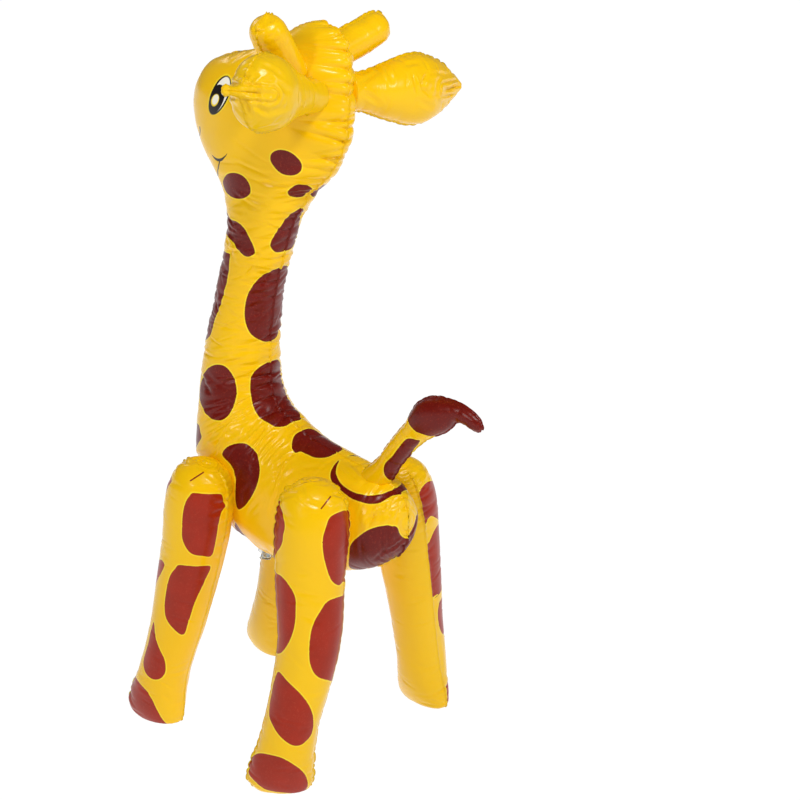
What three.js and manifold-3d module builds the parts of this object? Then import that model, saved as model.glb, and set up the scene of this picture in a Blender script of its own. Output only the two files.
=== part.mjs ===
import * as THREE from "three";
import { mergeVertices } from "three/addons/utils/BufferGeometryUtils.js";
import Module from "manifold-3d";

// An inflatable giraffe, standing on four legs. It faces -Y, its left side is +X, and +Z is up.
// The form is drawn in units of about a thousandth of its height; UNIT turns them into millimetres.
const UNIT = 0.612;

// Gap between pieces that are welded together
const GAP = 0.3;

const YELLOW = 0xf7c612;
const CLEAR = 0xdfe8ea;

const wasm = await Module();
wasm.setup();

// Curves through hand-placed stations

function smoothRows(rows, steps) {
  const first = rows[0].map((v, k) => 2 * v - rows[1][k]);
  const before = rows[rows.length - 2];
  const last = rows[rows.length - 1].map((v, k) => 2 * v - before[k]);
  const all = [first, ...rows, last];
  const out = [];
  for (let i = 1; i < all.length - 2; i++) {
    for (let s = 0; s < steps; s++) {
      const t = s / steps;
      out.push(
        rows[0].map((_, k) => {
          const [p, q, r, w] = [all[i - 1][k], all[i][k], all[i + 1][k], all[i + 2][k]];
          const square = (2 * p - 5 * q + 4 * r - w) * t * t;
          const cube = (3 * q - p - 3 * r + w) * t * t * t;
          return 0.5 * (2 * q + (r - p) * t + square + cube);
        }),
      );
    }
  }
  out.push(rows[rows.length - 1]);
  return out;
}

// A closed solid through a row of rings, each a list of points
function loft(rings) {
  const around = rings[0].length;
  const points = rings.flat();
  const faces = [];
  const mean = (ring) => {
    const sum = new THREE.Vector3();
    ring.forEach((p) => sum.add(p));
    return sum.divideScalar(ring.length);
  };
  for (let i = 0; i < rings.length - 1; i++) {
    for (let j = 0; j < around; j++) {
      const k = (j + 1) % around;
      const [a, b] = [i * around + j, i * around + k];
      const [c, d] = [a + around, b + around];
      faces.push(a, b, d, a, d, c);
    }
  }
  const low = points.push(mean(rings[0])) - 1;
  const high = points.push(mean(rings[rings.length - 1])) - 1;
  const top = (rings.length - 1) * around;
  for (let j = 0; j < around; j++) {
    const k = (j + 1) % around;
    faces.push(low, k, j);
    faces.push(high, top + j, top + k);
  }
  const numbers = new Float32Array(points.flatMap((p) => [p.x, p.y, p.z]));
  const made = new wasm.Manifold(
    new wasm.Mesh({ numProp: 3, vertProperties: numbers, triVerts: new Uint32Array(faces) }),
  );
  if (made.volume() > 0) return made;
  for (let i = 0; i < faces.length; i += 3) [faces[i + 1], faces[i + 2]] = [faces[i + 2], faces[i + 1]];
  return new wasm.Manifold(
    new wasm.Mesh({ numProp: 3, vertProperties: numbers, triVerts: new Uint32Array(faces) }),
  );
}

// The body, neck and head: two mirrored panels blown up into one chamber.
// Each station is the under edge (y, z), the upper edge (y, z) and the half width.
const BODY = [
  [181, 344, 181, 352, 5],
  [177, 318, 174, 376, 24],
  [161, 292, 155, 392, 42],
  [125, 270, 122, 402, 58],
  [70, 252, 74, 411, 67],
  [5, 244, 30, 421, 72],
  [-60, 254, -2, 434, 74],
  [-118, 284, -20, 446, 74],
  [-153, 340, -36, 458, 70],
  [-161, 412, -44, 474, 62],
  [-155, 484, -47, 500, 54],
  [-142, 550, -45, 550, 49],
  [-128, 594, -39, 594, 46],
  [-118, 633, -29, 633, 46],
  [-106, 672, -15, 672, 46.5],
  [-100, 706, -2, 706, 47],
  [-110, 735, 15, 733, 49],
  [-130, 762, 38, 758, 53],
  [-154, 790, 62, 786, 57],
  [-168, 822, 76, 820, 60],
  [-170, 850, 77, 850, 61],
  [-162, 876, 75, 878, 58],
  [-145, 896, 74, 904, 51],
  [-116, 907, 70, 926, 42],
  [-80, 915, 61, 940, 33],
  [-42, 930, 48, 949, 23],
  [-12, 947, 33, 955, 12],
  [8, 955, 20, 957, 4],
];
const BODY_STEPS = 2;
const BODY_AROUND = 28;

// The head leans a little to its right side, and the lean grows up the neck
const LEAN_DEGREES = 6.5;
const LEAN_PIVOT_Z = 700;
const LEAN_FROM_Z = 640;
const LEAN_FULL_Z = 760;

function leaned(x, y, z) {
  const share = THREE.MathUtils.smoothstep(z, LEAN_FROM_Z, LEAN_FULL_Z);
  const angle = THREE.MathUtils.degToRad(LEAN_DEGREES) * share;
  const up = z - LEAN_PIVOT_Z;
  const leanedX = x * Math.cos(angle) - up * Math.sin(angle);
  const leanedZ = x * Math.sin(angle) + up * Math.cos(angle) + LEAN_PIVOT_Z;
  return new THREE.Vector3(leanedX, y, leanedZ).multiplyScalar(UNIT);
}

function bodySolid(grow) {
  const extra = grow / UNIT;
  const stations = smoothRows(BODY, BODY_STEPS);
  const rings = stations.map(([underY, underZ, upperY, upperZ, width]) => {
    const [midY, midZ] = [(underY + upperY) / 2, (underZ + upperZ) / 2];
    const [halfY, halfZ] = [(upperY - underY) / 2, (upperZ - underZ) / 2];
    const half = Math.hypot(halfY, halfZ);
    const bigger = (half + extra) / half;
    const ring = [];
    for (let j = 0; j < BODY_AROUND; j++) {
      const angle = (2 * Math.PI * j) / BODY_AROUND;
      const along = -Math.cos(angle) * bigger;
      ring.push(
        leaned((width + extra) * Math.sin(angle), midY + along * halfY, midZ + along * halfZ),
      );
    }
    return ring;
  });
  return loft(rings);
}

// Legs, ears, horns and tail: tubes with two panels, flattened where the end is welded shut.
// A profile row is the share of the length, the half width along the seam and the half thickness.
function sampledPath(points) {
  return smoothRows(points, 24).map((p) => new THREE.Vector3(...p));
}

function pointAt(path, share) {
  const lengths = [0];
  for (let i = 1; i < path.length; i++) {
    lengths.push(lengths[i - 1] + path[i].distanceTo(path[i - 1]));
  }
  const wanted = share * lengths[lengths.length - 1];
  if (wanted <= 0) {
    const back = path[0].clone().sub(path[1]).normalize();
    return path[0].clone().addScaledVector(back, -wanted);
  }
  let i = 1;
  while (i < path.length - 1 && lengths[i] < wanted) i++;
  const part = (wanted - lengths[i - 1]) / (lengths[i] - lengths[i - 1]);
  return path[i - 1].clone().lerp(path[i], part);
}

function tube(points, profile, steps, around, seamAt, place, grow = 0) {
  const path = sampledPath(points);
  const wider = profile.map(([share, seam, thick]) => [share, seam + grow / UNIT, thick + grow / UNIT]);
  const rows = smoothRows(wider, steps);
  const middles = rows.map((row) => pointAt(path, row[0]));
  const rings = rows.map((row, i) => {
    const ahead = middles[Math.min(i + 1, rows.length - 1)];
    const behind = middles[Math.max(i - 1, 0)];
    const along = ahead.clone().sub(behind).normalize();
    const seam = seamAt(row[0]);
    seam.addScaledVector(along, -seam.dot(along)).normalize();
    const out = along.clone().cross(seam);
    const ring = [];
    for (let j = 0; j < around; j++) {
      const angle = (2 * Math.PI * j) / around;
      const p = middles[i]
        .clone()
        .addScaledVector(seam, row[1] * Math.cos(angle))
        .addScaledVector(out, row[2] * Math.sin(angle));
      ring.push(place(p.x, p.y, p.z));
    }
    return ring;
  });
  return loft(rings);
}

const LEG_AROUND = 16;
const EAR_AROUND = 16;
const HORN_AROUND = 14;
const TAIL_AROUND = 14;

const upright = (x, y, z) => new THREE.Vector3(x, y, z).multiplyScalar(UNIT);

// Each leg: middle points from hip to floor, and how far its seams are turned, top and bottom
const LEGS = {
  leg_front_left: {
    points: [[96, -92, 340], [99, -107, 262], [107, -131, 160], [114, -156, 78], [120, -178, -4]],
    side: 1,
    turn: [5, 15],
  },
  leg_front_right: {
    points: [[-101, -80, 340], [-101, -98, 262], [-106, -126, 160], [-117, -157, 78], [-131, -187, -4]],
    side: -1,
    turn: [0, 0],
  },
  leg_hind_left: {
    points: [[98, 104, 357], [106, 106, 290], [121, 114, 200], [140, 98, 90], [151, 82, -4]],
    side: 1,
    turn: [41, 41],
  },
  leg_hind_right: {
    points: [[-82, 106, 336], [-100, 102, 263], [-119, 101, 160], [-136, 98, 78], [-150, 93, -4]],
    side: -1,
    turn: [0, 0],
  },
};
const LEG_PROFILE = [
  [-0.165, 3, 2],
  [-0.155, 20, 18],
  [-0.12, 36, 34],
  [-0.06, 44, 42],
  [0.03, 47, 45],
  [0.15, 45, 43],
  [0.35, 41, 40],
  [0.55, 37, 35.5],
  [0.7, 35, 34],
  [0.82, 37.5, 32],
  [0.9, 42, 28],
  [0.955, 43, 23],
  [0.985, 39, 18],
  [1, 32, 14],
];

function legSolid({ points, side, turn }) {
  const seamAt = (share) => {
    const degrees = THREE.MathUtils.lerp(turn[0], turn[1], THREE.MathUtils.clamp(share, 0, 1));
    const angle = THREE.MathUtils.degToRad(degrees);
    return new THREE.Vector3(-side * Math.sin(angle), Math.cos(angle), 0);
  };
  return tube(points, LEG_PROFILE, 2, LEG_AROUND, seamAt, upright);
}

// Ears and horns, drawn in the frame of the upright head and leaned with it: root and tip
const EARS = {
  left: [[30, 44, 868], [222, 75, 881]],
  right: [[-30, 44, 872], [-232, 72, 881]],
};
// The left ear is drawn into a short twist at its tip, and the right one keeps its leaf shape
const EAR_PROFILES = {
  left: [
    [0, 24, 22],
    [0.12, 25, 22],
    [0.3, 35, 30],
    [0.5, 45, 36],
    [0.64, 45, 35],
    [0.76, 37, 27],
    [0.84, 19, 15],
    [0.88, 8, 7],
    [0.94, 5, 5],
    [0.98, 7, 6],
    [1, 4, 3],
  ],
  right: [
    [0, 24, 22],
    [0.12, 25, 22],
    [0.3, 34, 29],
    [0.5, 44, 33],
    [0.64, 44, 32],
    [0.8, 33, 22],
    [0.92, 17, 10],
    [1, 4, 2],
  ],
};

const HORNS = {
  left: [[46, 18, 892], [110, 24, 960]],
  right: [[-24, 20, 916], [-113, 34, 961]],
};
const HORN_PROFILE = [
  [0, 23, 23],
  [0.3, 23, 23],
  [0.6, 23, 23],
  [0.82, 22, 22],
  [0.94, 18, 16],
  [1, 12, 4],
];
const upSeam = () => new THREE.Vector3(0, 0, 1);

// The tail: points from the rump to the tip, with the half height and half width there
const TAIL = [
  [0, 118, 384, 20, 20],
  [0, 143, 411, 16.5, 16.5],
  [0, 156, 431, 15.5, 15],
  [0, 172, 451, 15.5, 15],
  [0, 190, 472, 17, 15],
  [0, 209, 493, 22, 17],
  [0, 234, 506, 22.5, 16],
  [0, 256, 511, 15, 12],
  [0, 272, 506, 11, 9],
  [0, 283, 500, 8, 6],
  [0, 289, 494, 3, 2],
];

function tailSolid() {
  const rows = smoothRows(TAIL, 2);
  const middles = rows.map((row) => new THREE.Vector3(row[0], row[1], row[2]));
  const across = new THREE.Vector3(1, 0, 0);
  const rings = rows.map((row, i) => {
    const ahead = middles[Math.min(i + 1, rows.length - 1)];
    const behind = middles[Math.max(i - 1, 0)];
    const along = ahead.clone().sub(behind).normalize();
    const high = across.clone().cross(along);
    const ring = [];
    for (let j = 0; j < TAIL_AROUND; j++) {
      const angle = (2 * Math.PI * j) / TAIL_AROUND;
      const p = middles[i]
        .clone()
        .addScaledVector(high, row[3] * Math.cos(angle))
        .addScaledVector(across, row[4] * Math.sin(angle));
      ring.push(upright(p.x, p.y, p.z));
    }
    return ring;
  });
  return loft(rings);
}

// The floor plane cuts the feet flat; a slab under it is taken away
function slab(top, size) {
  const shape = new THREE.BoxGeometry(size, size, size).translate(0, 0, top - size / 2);
  shape.deleteAttribute("normal");
  shape.deleteAttribute("uv");
  const merged = mergeVertices(shape, 1e-3);
  return new wasm.Manifold(
    new wasm.Mesh({
      numProp: 3,
      vertProperties: merged.attributes.position.array,
      triVerts: new Uint32Array(merged.index.array),
    }),
  );
}

// A turned solid about a leaning axis, from rows of radius and height in millimetres
function turned(rows, sides, matrix) {
  const rings = rows.map(([radius, height]) => {
    const ring = [];
    for (let j = 0; j < sides; j++) {
      const angle = (2 * Math.PI * j) / sides;
      const p = new THREE.Vector3(radius * Math.cos(angle), radius * Math.sin(angle), height);
      ring.push(p.applyMatrix4(matrix));
    }
    return ring;
  });
  return loft(rings);
}

// The air valve under the belly: a clear flange and stem standing out, closed by a plug.
// Heights run outward from the belly skin.
const VALVE_PLACE = new THREE.Vector3(14, -50, 249).multiplyScalar(UNIT);
const VALVE_OUT = new THREE.Vector3(0.16, -0.2, -1).normalize();
const POCKET_RADIUS = 8.2;
const POCKET_DEPTH = 8;
const FLANGE_RADIUS = POCKET_RADIUS - GAP;
const FLANGE = 1.4;
const STEP = 0.4;
const STEM_RADIUS = 4.4;
const BORE_RADIUS = 3.1;
const STEM_LENGTH = 5;
const PLUG_HEAD_RADIUS = 4;
const PLUG_HEAD = 1.6;

const valveFrame = new THREE.Matrix4().compose(
  VALVE_PLACE,
  new THREE.Quaternion().setFromUnitVectors(new THREE.Vector3(0, 0, 1), VALVE_OUT),
  new THREE.Vector3(1, 1, 1),
);

const valvePocket = turned([[POCKET_RADIUS, -POCKET_DEPTH], [POCKET_RADIUS, 14]], 28, valveFrame);
const valveFloor = 0.4 - POCKET_DEPTH;
const valveBore = turned([[BORE_RADIUS, valveFloor + 1.2], [BORE_RADIUS, 14]], 24, valveFrame);
const valveBody = turned(
  [
    [FLANGE_RADIUS, valveFloor],
    [FLANGE_RADIUS, valveFloor + FLANGE],
    [STEM_RADIUS + 1, valveFloor + FLANGE + STEP],
    [STEM_RADIUS, valveFloor + FLANGE + 3 * STEP],
    [STEM_RADIUS, STEM_LENGTH - 0.3],
    [STEM_RADIUS - 0.3, STEM_LENGTH],
  ],
  28,
  valveFrame,
).subtract(valveBore);
const valvePlug = turned(
  [
    [BORE_RADIUS - 0.5, valveFloor + 4],
    [BORE_RADIUS - 0.3, STEM_LENGTH + 0.1],
    [BORE_RADIUS - 0.3, STEM_LENGTH + GAP],
    [PLUG_HEAD_RADIUS, STEM_LENGTH + GAP],
    [PLUG_HEAD_RADIUS, STEM_LENGTH + PLUG_HEAD],
    [PLUG_HEAD_RADIUS - 0.5, STEM_LENGTH + PLUG_HEAD + 0.4],
  ],
  24,
  valveFrame,
);

// All pieces, cut back from the body where they are welded to it
const giraffe = new THREE.Group();
giraffe.name = "giraffe";

function addPiece(name, solid, colour) {
  const shell = solid.getMesh();
  const shape = new THREE.BufferGeometry();
  const points = new Float32Array(shell.vertProperties);
  shape.setAttribute("position", new THREE.BufferAttribute(points, 3));
  shape.setIndex(new THREE.BufferAttribute(new Uint32Array(shell.triVerts), 1));
  shape.computeVertexNormals();
  const material = new THREE.MeshStandardMaterial({ color: colour, roughness: 0.3 });
  const mesh = new THREE.Mesh(shape, material);
  mesh.name = name;
  giraffe.add(mesh);
}

const grownBody = bodySolid(GAP);
const belowFloor = slab(0, 900);

addPiece("body_neck_and_head", bodySolid(0).subtract(valvePocket), YELLOW);
for (const [name, leg] of Object.entries(LEGS)) {
  addPiece(name, legSolid(leg).subtract(belowFloor).subtract(grownBody), YELLOW);
}
for (const side of ["left", "right"]) {
  const ear = (grow) => tube(EARS[side], EAR_PROFILES[side], 2, EAR_AROUND, upSeam, leaned, grow);
  const horn = tube(HORNS[side], HORN_PROFILE, 2, HORN_AROUND, upSeam, leaned);
  addPiece("ear_" + side, ear(0).subtract(grownBody), YELLOW);
  addPiece("horn_" + side, horn.subtract(grownBody).subtract(ear(GAP)), YELLOW);
}
addPiece("tail", tailSolid().subtract(grownBody), YELLOW);
addPiece("valve_flange_and_stem", valveBody, CLEAR);
addPiece("valve_plug", valvePlug, CLEAR);

// The origin is the bottom centre of the whole box
const box = new THREE.Box3().setFromObject(giraffe);
const shift = new THREE.Vector3(
  -(box.min.x + box.max.x) / 2,
  -(box.min.y + box.max.y) / 2,
  -box.min.z,
);
giraffe.children.forEach((mesh) => mesh.geometry.translate(shift.x, shift.y, shift.z));

export default giraffe;
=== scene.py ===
import math

import bpy
import numpy as np
from mathutils import Matrix, Vector, kdtree
from mathutils.bvhtree import BVHTree


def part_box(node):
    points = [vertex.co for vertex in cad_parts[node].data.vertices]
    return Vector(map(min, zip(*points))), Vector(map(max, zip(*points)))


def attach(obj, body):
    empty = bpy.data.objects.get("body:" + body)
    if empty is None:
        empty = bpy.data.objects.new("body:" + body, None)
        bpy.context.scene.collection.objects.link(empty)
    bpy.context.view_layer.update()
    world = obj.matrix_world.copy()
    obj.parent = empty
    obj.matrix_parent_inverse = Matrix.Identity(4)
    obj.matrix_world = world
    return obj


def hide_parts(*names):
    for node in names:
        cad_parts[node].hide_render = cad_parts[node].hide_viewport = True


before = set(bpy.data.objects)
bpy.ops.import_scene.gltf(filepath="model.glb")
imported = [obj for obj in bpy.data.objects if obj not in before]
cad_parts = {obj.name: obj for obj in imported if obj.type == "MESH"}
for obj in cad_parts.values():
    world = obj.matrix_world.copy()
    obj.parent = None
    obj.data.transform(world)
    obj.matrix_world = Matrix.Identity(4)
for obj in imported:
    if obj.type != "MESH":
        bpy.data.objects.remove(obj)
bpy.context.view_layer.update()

# Sizes shared with the solids: the drawing unit is about a thousandth of the height
UNIT = 0.000612
MM = 0.001

# Body from rump to crown: under y, under z, upper y, upper z, half width
BODY = [
    (181, 344, 181, 352, 5),
    (177, 318, 174, 376, 24),
    (161, 292, 155, 392, 42),
    (125, 270, 122, 402, 58),
    (70, 252, 74, 411, 67),
    (5, 244, 30, 421, 72),
    (-60, 254, -2, 434, 74),
    (-118, 284, -20, 446, 74),
    (-153, 340, -36, 458, 70),
    (-161, 412, -44, 474, 62),
    (-155, 484, -47, 500, 54),
    (-142, 550, -45, 550, 49),
    (-128, 594, -39, 594, 46),
    (-118, 633, -29, 633, 46),
    (-106, 672, -15, 672, 46.5),
    (-100, 706, -2, 706, 47),
    (-110, 735, 15, 733, 49),
    (-130, 762, 38, 758, 53),
    (-154, 790, 62, 786, 57),
    (-168, 822, 76, 820, 60),
    (-170, 850, 77, 850, 61),
    (-162, 876, 75, 878, 58),
    (-145, 896, 74, 904, 51),
    (-116, 907, 70, 926, 42),
    (-80, 915, 61, 940, 33),
    (-42, 930, 48, 949, 23),
    (-12, 947, 33, 955, 12),
    (8, 955, 20, 957, 4),
]
LAST_STATION = len(BODY) - 1
LEAN_DEGREES = 6.5
LEAN_PIVOT_Z = 700
LEAN_FROM_Z = 640
LEAN_FULL_Z = 760

# Legs: points from hip to floor, side, degrees the seams turn inward, share of the top over the hip
LEGS = {
    "leg_front_left": (
        [(96, -92, 340), (99, -107, 262), (107, -131, 160), (114, -156, 78), (120, -178, -4)],
        1, (5, 15), 1.0),
    "leg_front_right": (
        [(-101, -80, 340), (-101, -98, 262), (-106, -126, 160), (-117, -157, 78), (-131, -187, -4)],
        -1, (0, 0), 0.5),
    "leg_hind_left": (
        [(98, 104, 357), (106, 106, 290), (121, 114, 200), (140, 98, 90), (151, 82, -4)],
        1, (41, 41), 1.0),
    "leg_hind_right": (
        [(-82, 106, 336), (-100, 102, 263), (-119, 101, 160), (-136, 98, 78), (-150, 93, -4)],
        -1, (18, 4), 1.0),
}
# Share of the length, half width between the seams, half thickness
LEG_PROFILE = [
    (-0.165, 3, 2),
    (-0.155, 20, 18),
    (-0.12, 36, 34),
    (-0.06, 44, 42),
    (0.03, 47, 45),
    (0.15, 45, 43),
    (0.35, 41, 40),
    (0.55, 37, 35.5),
    (0.7, 35, 34),
    (0.82, 37.5, 32),
    (0.9, 42, 28),
    (0.955, 43, 23),
    (0.985, 39, 18),
    (1, 32, 14),
]
EARS = {"left": [(30, 44, 868), (222, 75, 881)], "right": [(-30, 44, 872), (-232, 72, 881)]}
EAR_PROFILES = {
    "left": [
        (0, 22, 21),
        (0.12, 22, 20),
        (0.3, 31, 27),
        (0.5, 44, 36),
        (0.62, 44, 35),
        (0.72, 36, 27),
        (0.79, 18, 14),
        (0.84, 7, 6),
        (0.92, 5, 4.5),
        (0.97, 7, 6),
        (1, 4, 3),
    ],
    "right": [
        (0, 24, 22),
        (0.12, 25, 22),
        (0.3, 34, 29),
        (0.5, 44, 33),
        (0.64, 44, 31),
        (0.8, 33, 18),
        (0.92, 17, 8),
        (1, 4, 2),
    ],
}
HORNS = {"left": [(46, 18, 892), (107, 23, 955)], "right": [(-24, 20, 916), (-110, 33, 957)]}
HORN_PROFILE = [
    (0, 23, 23),
    (0.3, 23, 23),
    (0.6, 23, 23),
    (0.82, 22, 22),
    (0.94, 18, 16),
    (1, 12, 4),
]
# Tail from rump to tip: x, y, z, half height, half width
TAIL = [
    (0, 118, 384, 20, 20),
    (0, 143, 411, 16.5, 16.5),
    (0, 156, 431, 15.5, 15),
    (0, 172, 451, 15.5, 15),
    (0, 190, 472, 17, 15),
    (0, 208, 492, 23, 17.5),
    (0, 230, 504, 22.5, 16.5),
    (0, 251, 511, 14, 12),
    (0, 267, 509, 11, 10),
    (0, 280, 503, 10, 8.5),
    (0, 288, 498, 6, 5),
    (0, 290, 496, 2, 2),
]


def curve_at(rows, where):
    """Points of the smooth curve through the rows, at float row numbers."""
    table = np.asarray(rows, float)
    table = np.vstack([2 * table[0] - table[1], table, 2 * table[-1] - table[-2]])
    where = np.clip(np.asarray(where, float), 0, len(rows) - 1)
    start = np.minimum(where.astype(int), len(rows) - 2)
    t = (where - start)[:, None]
    p, q, r, s = (table[start + k] for k in range(4))
    square = 2 * p - 5 * q + 4 * r - s
    cube = 3 * q - p - 3 * r + s
    return 0.5 * (2 * q + (r - p) * t + square * t**2 + cube * t**3)


def smoothstep(values, low, high):
    share = np.clip((values - low) / (high - low), 0, 1)
    return share * share * (3 - 2 * share)


def leaned(points):
    """The head's lean to its right, growing up the neck."""
    angle = math.radians(LEAN_DEGREES) * smoothstep(points[..., 2], LEAN_FROM_Z, LEAN_FULL_Z)
    up = points[..., 2] - LEAN_PIVOT_Z
    x = points[..., 0] * np.cos(angle) - up * np.sin(angle)
    z = points[..., 0] * np.sin(angle) + up * np.cos(angle) + LEAN_PIVOT_Z
    return np.stack([x, points[..., 1], z], -1)


def body_rings(where, angles):
    """Rings of the body: angle 0 is the under seam, 180 degrees the upper one, and +X lies between."""
    rows = curve_at(BODY, where)
    level = np.zeros(len(rows))
    low = np.stack([level, rows[:, 0], rows[:, 1]], -1)
    high = np.stack([level, rows[:, 2], rows[:, 3]], -1)
    side = np.stack([np.maximum(rows[:, 4], 1), level, level], -1)
    middle = (low + high) / 2
    half = (high - low) / 2
    across = np.cos(angles)[None, :, None]
    out = np.sin(angles)[None, :, None]
    return leaned(middle[:, None] - across * half[:, None] + out * side[:, None])


# The frame's origin is the bottom centre of the whole box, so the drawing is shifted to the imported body
COARSE_AROUND = 28
COARSE_STEP = 0.5
coarse_angles = np.linspace(0, 2 * np.pi, COARSE_AROUND, endpoint=False)
coarse = body_rings(np.arange(0, LAST_STATION + COARSE_STEP / 2, COARSE_STEP), coarse_angles)
SHIFT = np.array(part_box("body_neck_and_head")[0]) - coarse.reshape(-1, 3).min(0) * UNIT
SHIFT[2] = 0.0


def placed(points):
    """Drawing units to metres in the frame."""
    return points * UNIT + SHIFT


# The photograph's camera
CAMERA_AZIMUTH = 131.5
CAMERA_HEIGHT = 19.5
CAMERA_DISTANCE = 2187
TARGET_Z = 469
TARGET_PIXEL = (299.0, 402.0)
FOCAL_PIXELS = 1680.0
PHOTO_SIDE = 800
SENSOR_MM = 36.0
AIM_STEPS = 12


def heading_frame(heading, rise):
    """Right, up and forward for a compass heading and a rise, in radians."""
    level = math.cos(rise)
    forward = np.array([math.cos(heading) * level, math.sin(heading) * level, math.sin(rise)])
    right = np.cross(forward, [0, 0, 1.0])
    right /= np.linalg.norm(right)
    return right, np.cross(right, forward), forward


def photo_pixels(points, place, right, up, forward):
    away = points - place
    depth = away @ forward
    x = PHOTO_SIDE / 2 + FOCAL_PIXELS * (away @ right) / depth
    y = PHOTO_SIDE / 2 - FOCAL_PIXELS * (away @ up) / depth
    return np.stack([x, y], -1)


def camera_view():
    """The camera's place and directions, turned so that the target lies on its pixel."""
    azimuth = math.radians(CAMERA_AZIMUTH)
    rise = math.radians(CAMERA_HEIGHT)
    level = math.cos(rise)
    back = np.array([math.sin(azimuth) * level, -math.cos(azimuth) * level, math.sin(rise)])
    target = placed(np.array([0.0, 0.0, TARGET_Z]))
    place = target + back * CAMERA_DISTANCE * UNIT
    heading = math.atan2(-back[1], -back[0])
    dip = -rise
    for _ in range(AIM_STEPS):
        view = (place, *heading_frame(heading, dip))
        x, y = photo_pixels(target, *view)
        heading += (TARGET_PIXEL[0] - x) / FOCAL_PIXELS
        dip += (TARGET_PIXEL[1] - y) / FOCAL_PIXELS
    return view


VIEW = camera_view()


def linked(name, data):
    """A new object in the scene."""
    made = bpy.data.objects.new(name, data)
    bpy.context.scene.collection.objects.link(made)
    return made


def add_camera():
    place, right, up, forward = VIEW
    data = bpy.data.cameras.new("camera")
    data.sensor_width = SENSOR_MM
    data.lens = FOCAL_PIXELS / PHOTO_SIDE * SENSOR_MM
    made = linked("camera", data)
    rows = [[right[k], up[k], -forward[k], place[k]] for k in range(3)]
    made.matrix_world = Matrix(rows + [[0, 0, 0, 1]])
    bpy.context.scene.camera = made


add_camera()

# Skins are grids of points: rows along the piece, columns around it
SEAM_CROWDING = 0.3
# Finding a pixel on a skin: least facing, pixels added behind it, nearest points, least gap
LEAST_FACING = 0.02
BEHIND = 60
NEIGHBOURS = 4
LEAST_GAP = 0.02


def path_lengths(points):
    """Running length along axis 0."""
    steps = np.linalg.norm(np.diff(points, axis=0), axis=-1)
    start = np.zeros((1,) + steps.shape[1:])
    return np.concatenate([start, np.cumsum(steps, 0)])


def ring_normals(points):
    """Outward unit normals of a grid whose columns close into rings."""
    along = np.gradient(points, axis=0)
    around = np.roll(points, -1, 1) - np.roll(points, 1, 1)
    normals = np.cross(along, around)
    normals /= np.maximum(np.linalg.norm(normals, axis=-1, keepdims=True), 1e-15)
    outward = np.sum(normals * (points - points.mean(1, keepdims=True)), -1).mean()
    return normals if outward > 0 else -normals


def ring_angles(half):
    """Angles of two times half columns, closer together near both seams."""
    share = np.arange(half + 1) / half
    angles = np.pi * (share - SEAM_CROWDING * np.sin(2 * np.pi * share) / (2 * np.pi))
    return np.concatenate([angles, 2 * np.pi - angles[-2:0:-1]])


def whole_ring(first, second):
    """Values of both panels, each from seam to seam, as whole rings."""
    return np.concatenate([first, second[:, -2:0:-1]], 1)


class Skin:
    """An unwrinkled skin grid, able to find the place that a pixel of the photograph shows."""

    def __init__(self, points, angles, stations):
        self.points = points
        self.rows, self.columns = points.shape[:2]
        self.half = self.columns // 2
        self.normals = ring_normals(points)
        self.pixels = photo_pixels(points, *VIEW)
        toward = VIEW[0] - points
        toward /= np.linalg.norm(toward, axis=-1, keepdims=True)
        self.facing = np.sum(self.normals * toward, -1)
        self.degrees = np.degrees(angles)
        self.stations = stations
        self.step = path_lengths(points).mean(1)[-1] / (self.rows - 1)

    def column_of(self, degrees):
        columns = np.arange(self.columns)
        angles = np.concatenate([self.degrees - 360, self.degrees, self.degrees + 360])
        numbers = np.concatenate([columns - self.columns, columns, columns + self.columns])
        return float(np.interp(degrees, angles, numbers))

    def locate(self, first, second, unseen=False):
        """Row and column, as floats, of a pixel, or of a station and degrees where the place is unseen."""
        if unseen:
            row = float(np.interp(first, self.stations, np.arange(self.rows)))
            return row, self.column_of(second)
        gap = np.hypot(self.pixels[..., 0] - first, self.pixels[..., 1] - second)
        gap = np.where(self.facing > LEAST_FACING, gap, gap + BEHIND)
        near = np.argpartition(gap, NEIGHBOURS, axis=None)[:NEIGHBOURS]
        near = near[np.argsort(gap.reshape(-1)[near])]
        rows, columns = np.unravel_index(near, gap.shape)
        weight = 1 / (gap.reshape(-1)[near] + LEAST_GAP)
        apart = columns - columns[0]
        columns = np.where(apart > self.half, columns - self.columns, columns)
        columns = np.where(apart < -self.half, columns + self.columns, columns)
        return float(np.sum(rows * weight) / weight.sum()), float(np.sum(columns * weight) / weight.sum())

    def points_at(self, rows, columns):
        """Skin points at float rows and columns."""
        rows = np.clip(rows, 0, self.rows - 1.001)
        r, c = rows.astype(int), np.floor(columns).astype(int)
        down, over = (rows - r)[:, None], (columns - c)[:, None]
        after = (c + 1) % self.columns
        c = c % self.columns
        upper = self.points[r, c] * (1 - over) + self.points[r, after] * over
        lower = self.points[r + 1, c] * (1 - over) + self.points[r + 1, after] * over
        return upper * (1 - down) + lower * down

    def point_at(self, pixel):
        row, column = self.locate(*pixel)
        return self.points_at(np.array([row]), np.array([column]))[0]


# Printed outlines: pixels of the photograph, and at(station, degrees) for what it doesn't show
OUTLINE_STEPS = 30
OVAL_POINTS = 10
FAR_FROM_PRINT = 9.0
MARGIN_COLUMNS = 12


def at(station, degrees):
    return station, degrees, True


def oval(x, y, wide, high, tilt):
    """A printed oval: middle, half width and half height in pixels, and its tilt in degrees."""
    turn = math.radians(tilt)
    points = []
    for k in range(OVAL_POINTS):
        angle = 2 * math.pi * k / OVAL_POINTS
        across, down = wide * math.cos(angle), high * math.sin(angle)
        px = x + across * math.cos(turn) - down * math.sin(turn)
        py = y + across * math.sin(turn) + down * math.cos(turn)
        points.append((px, py))
    return points


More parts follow.
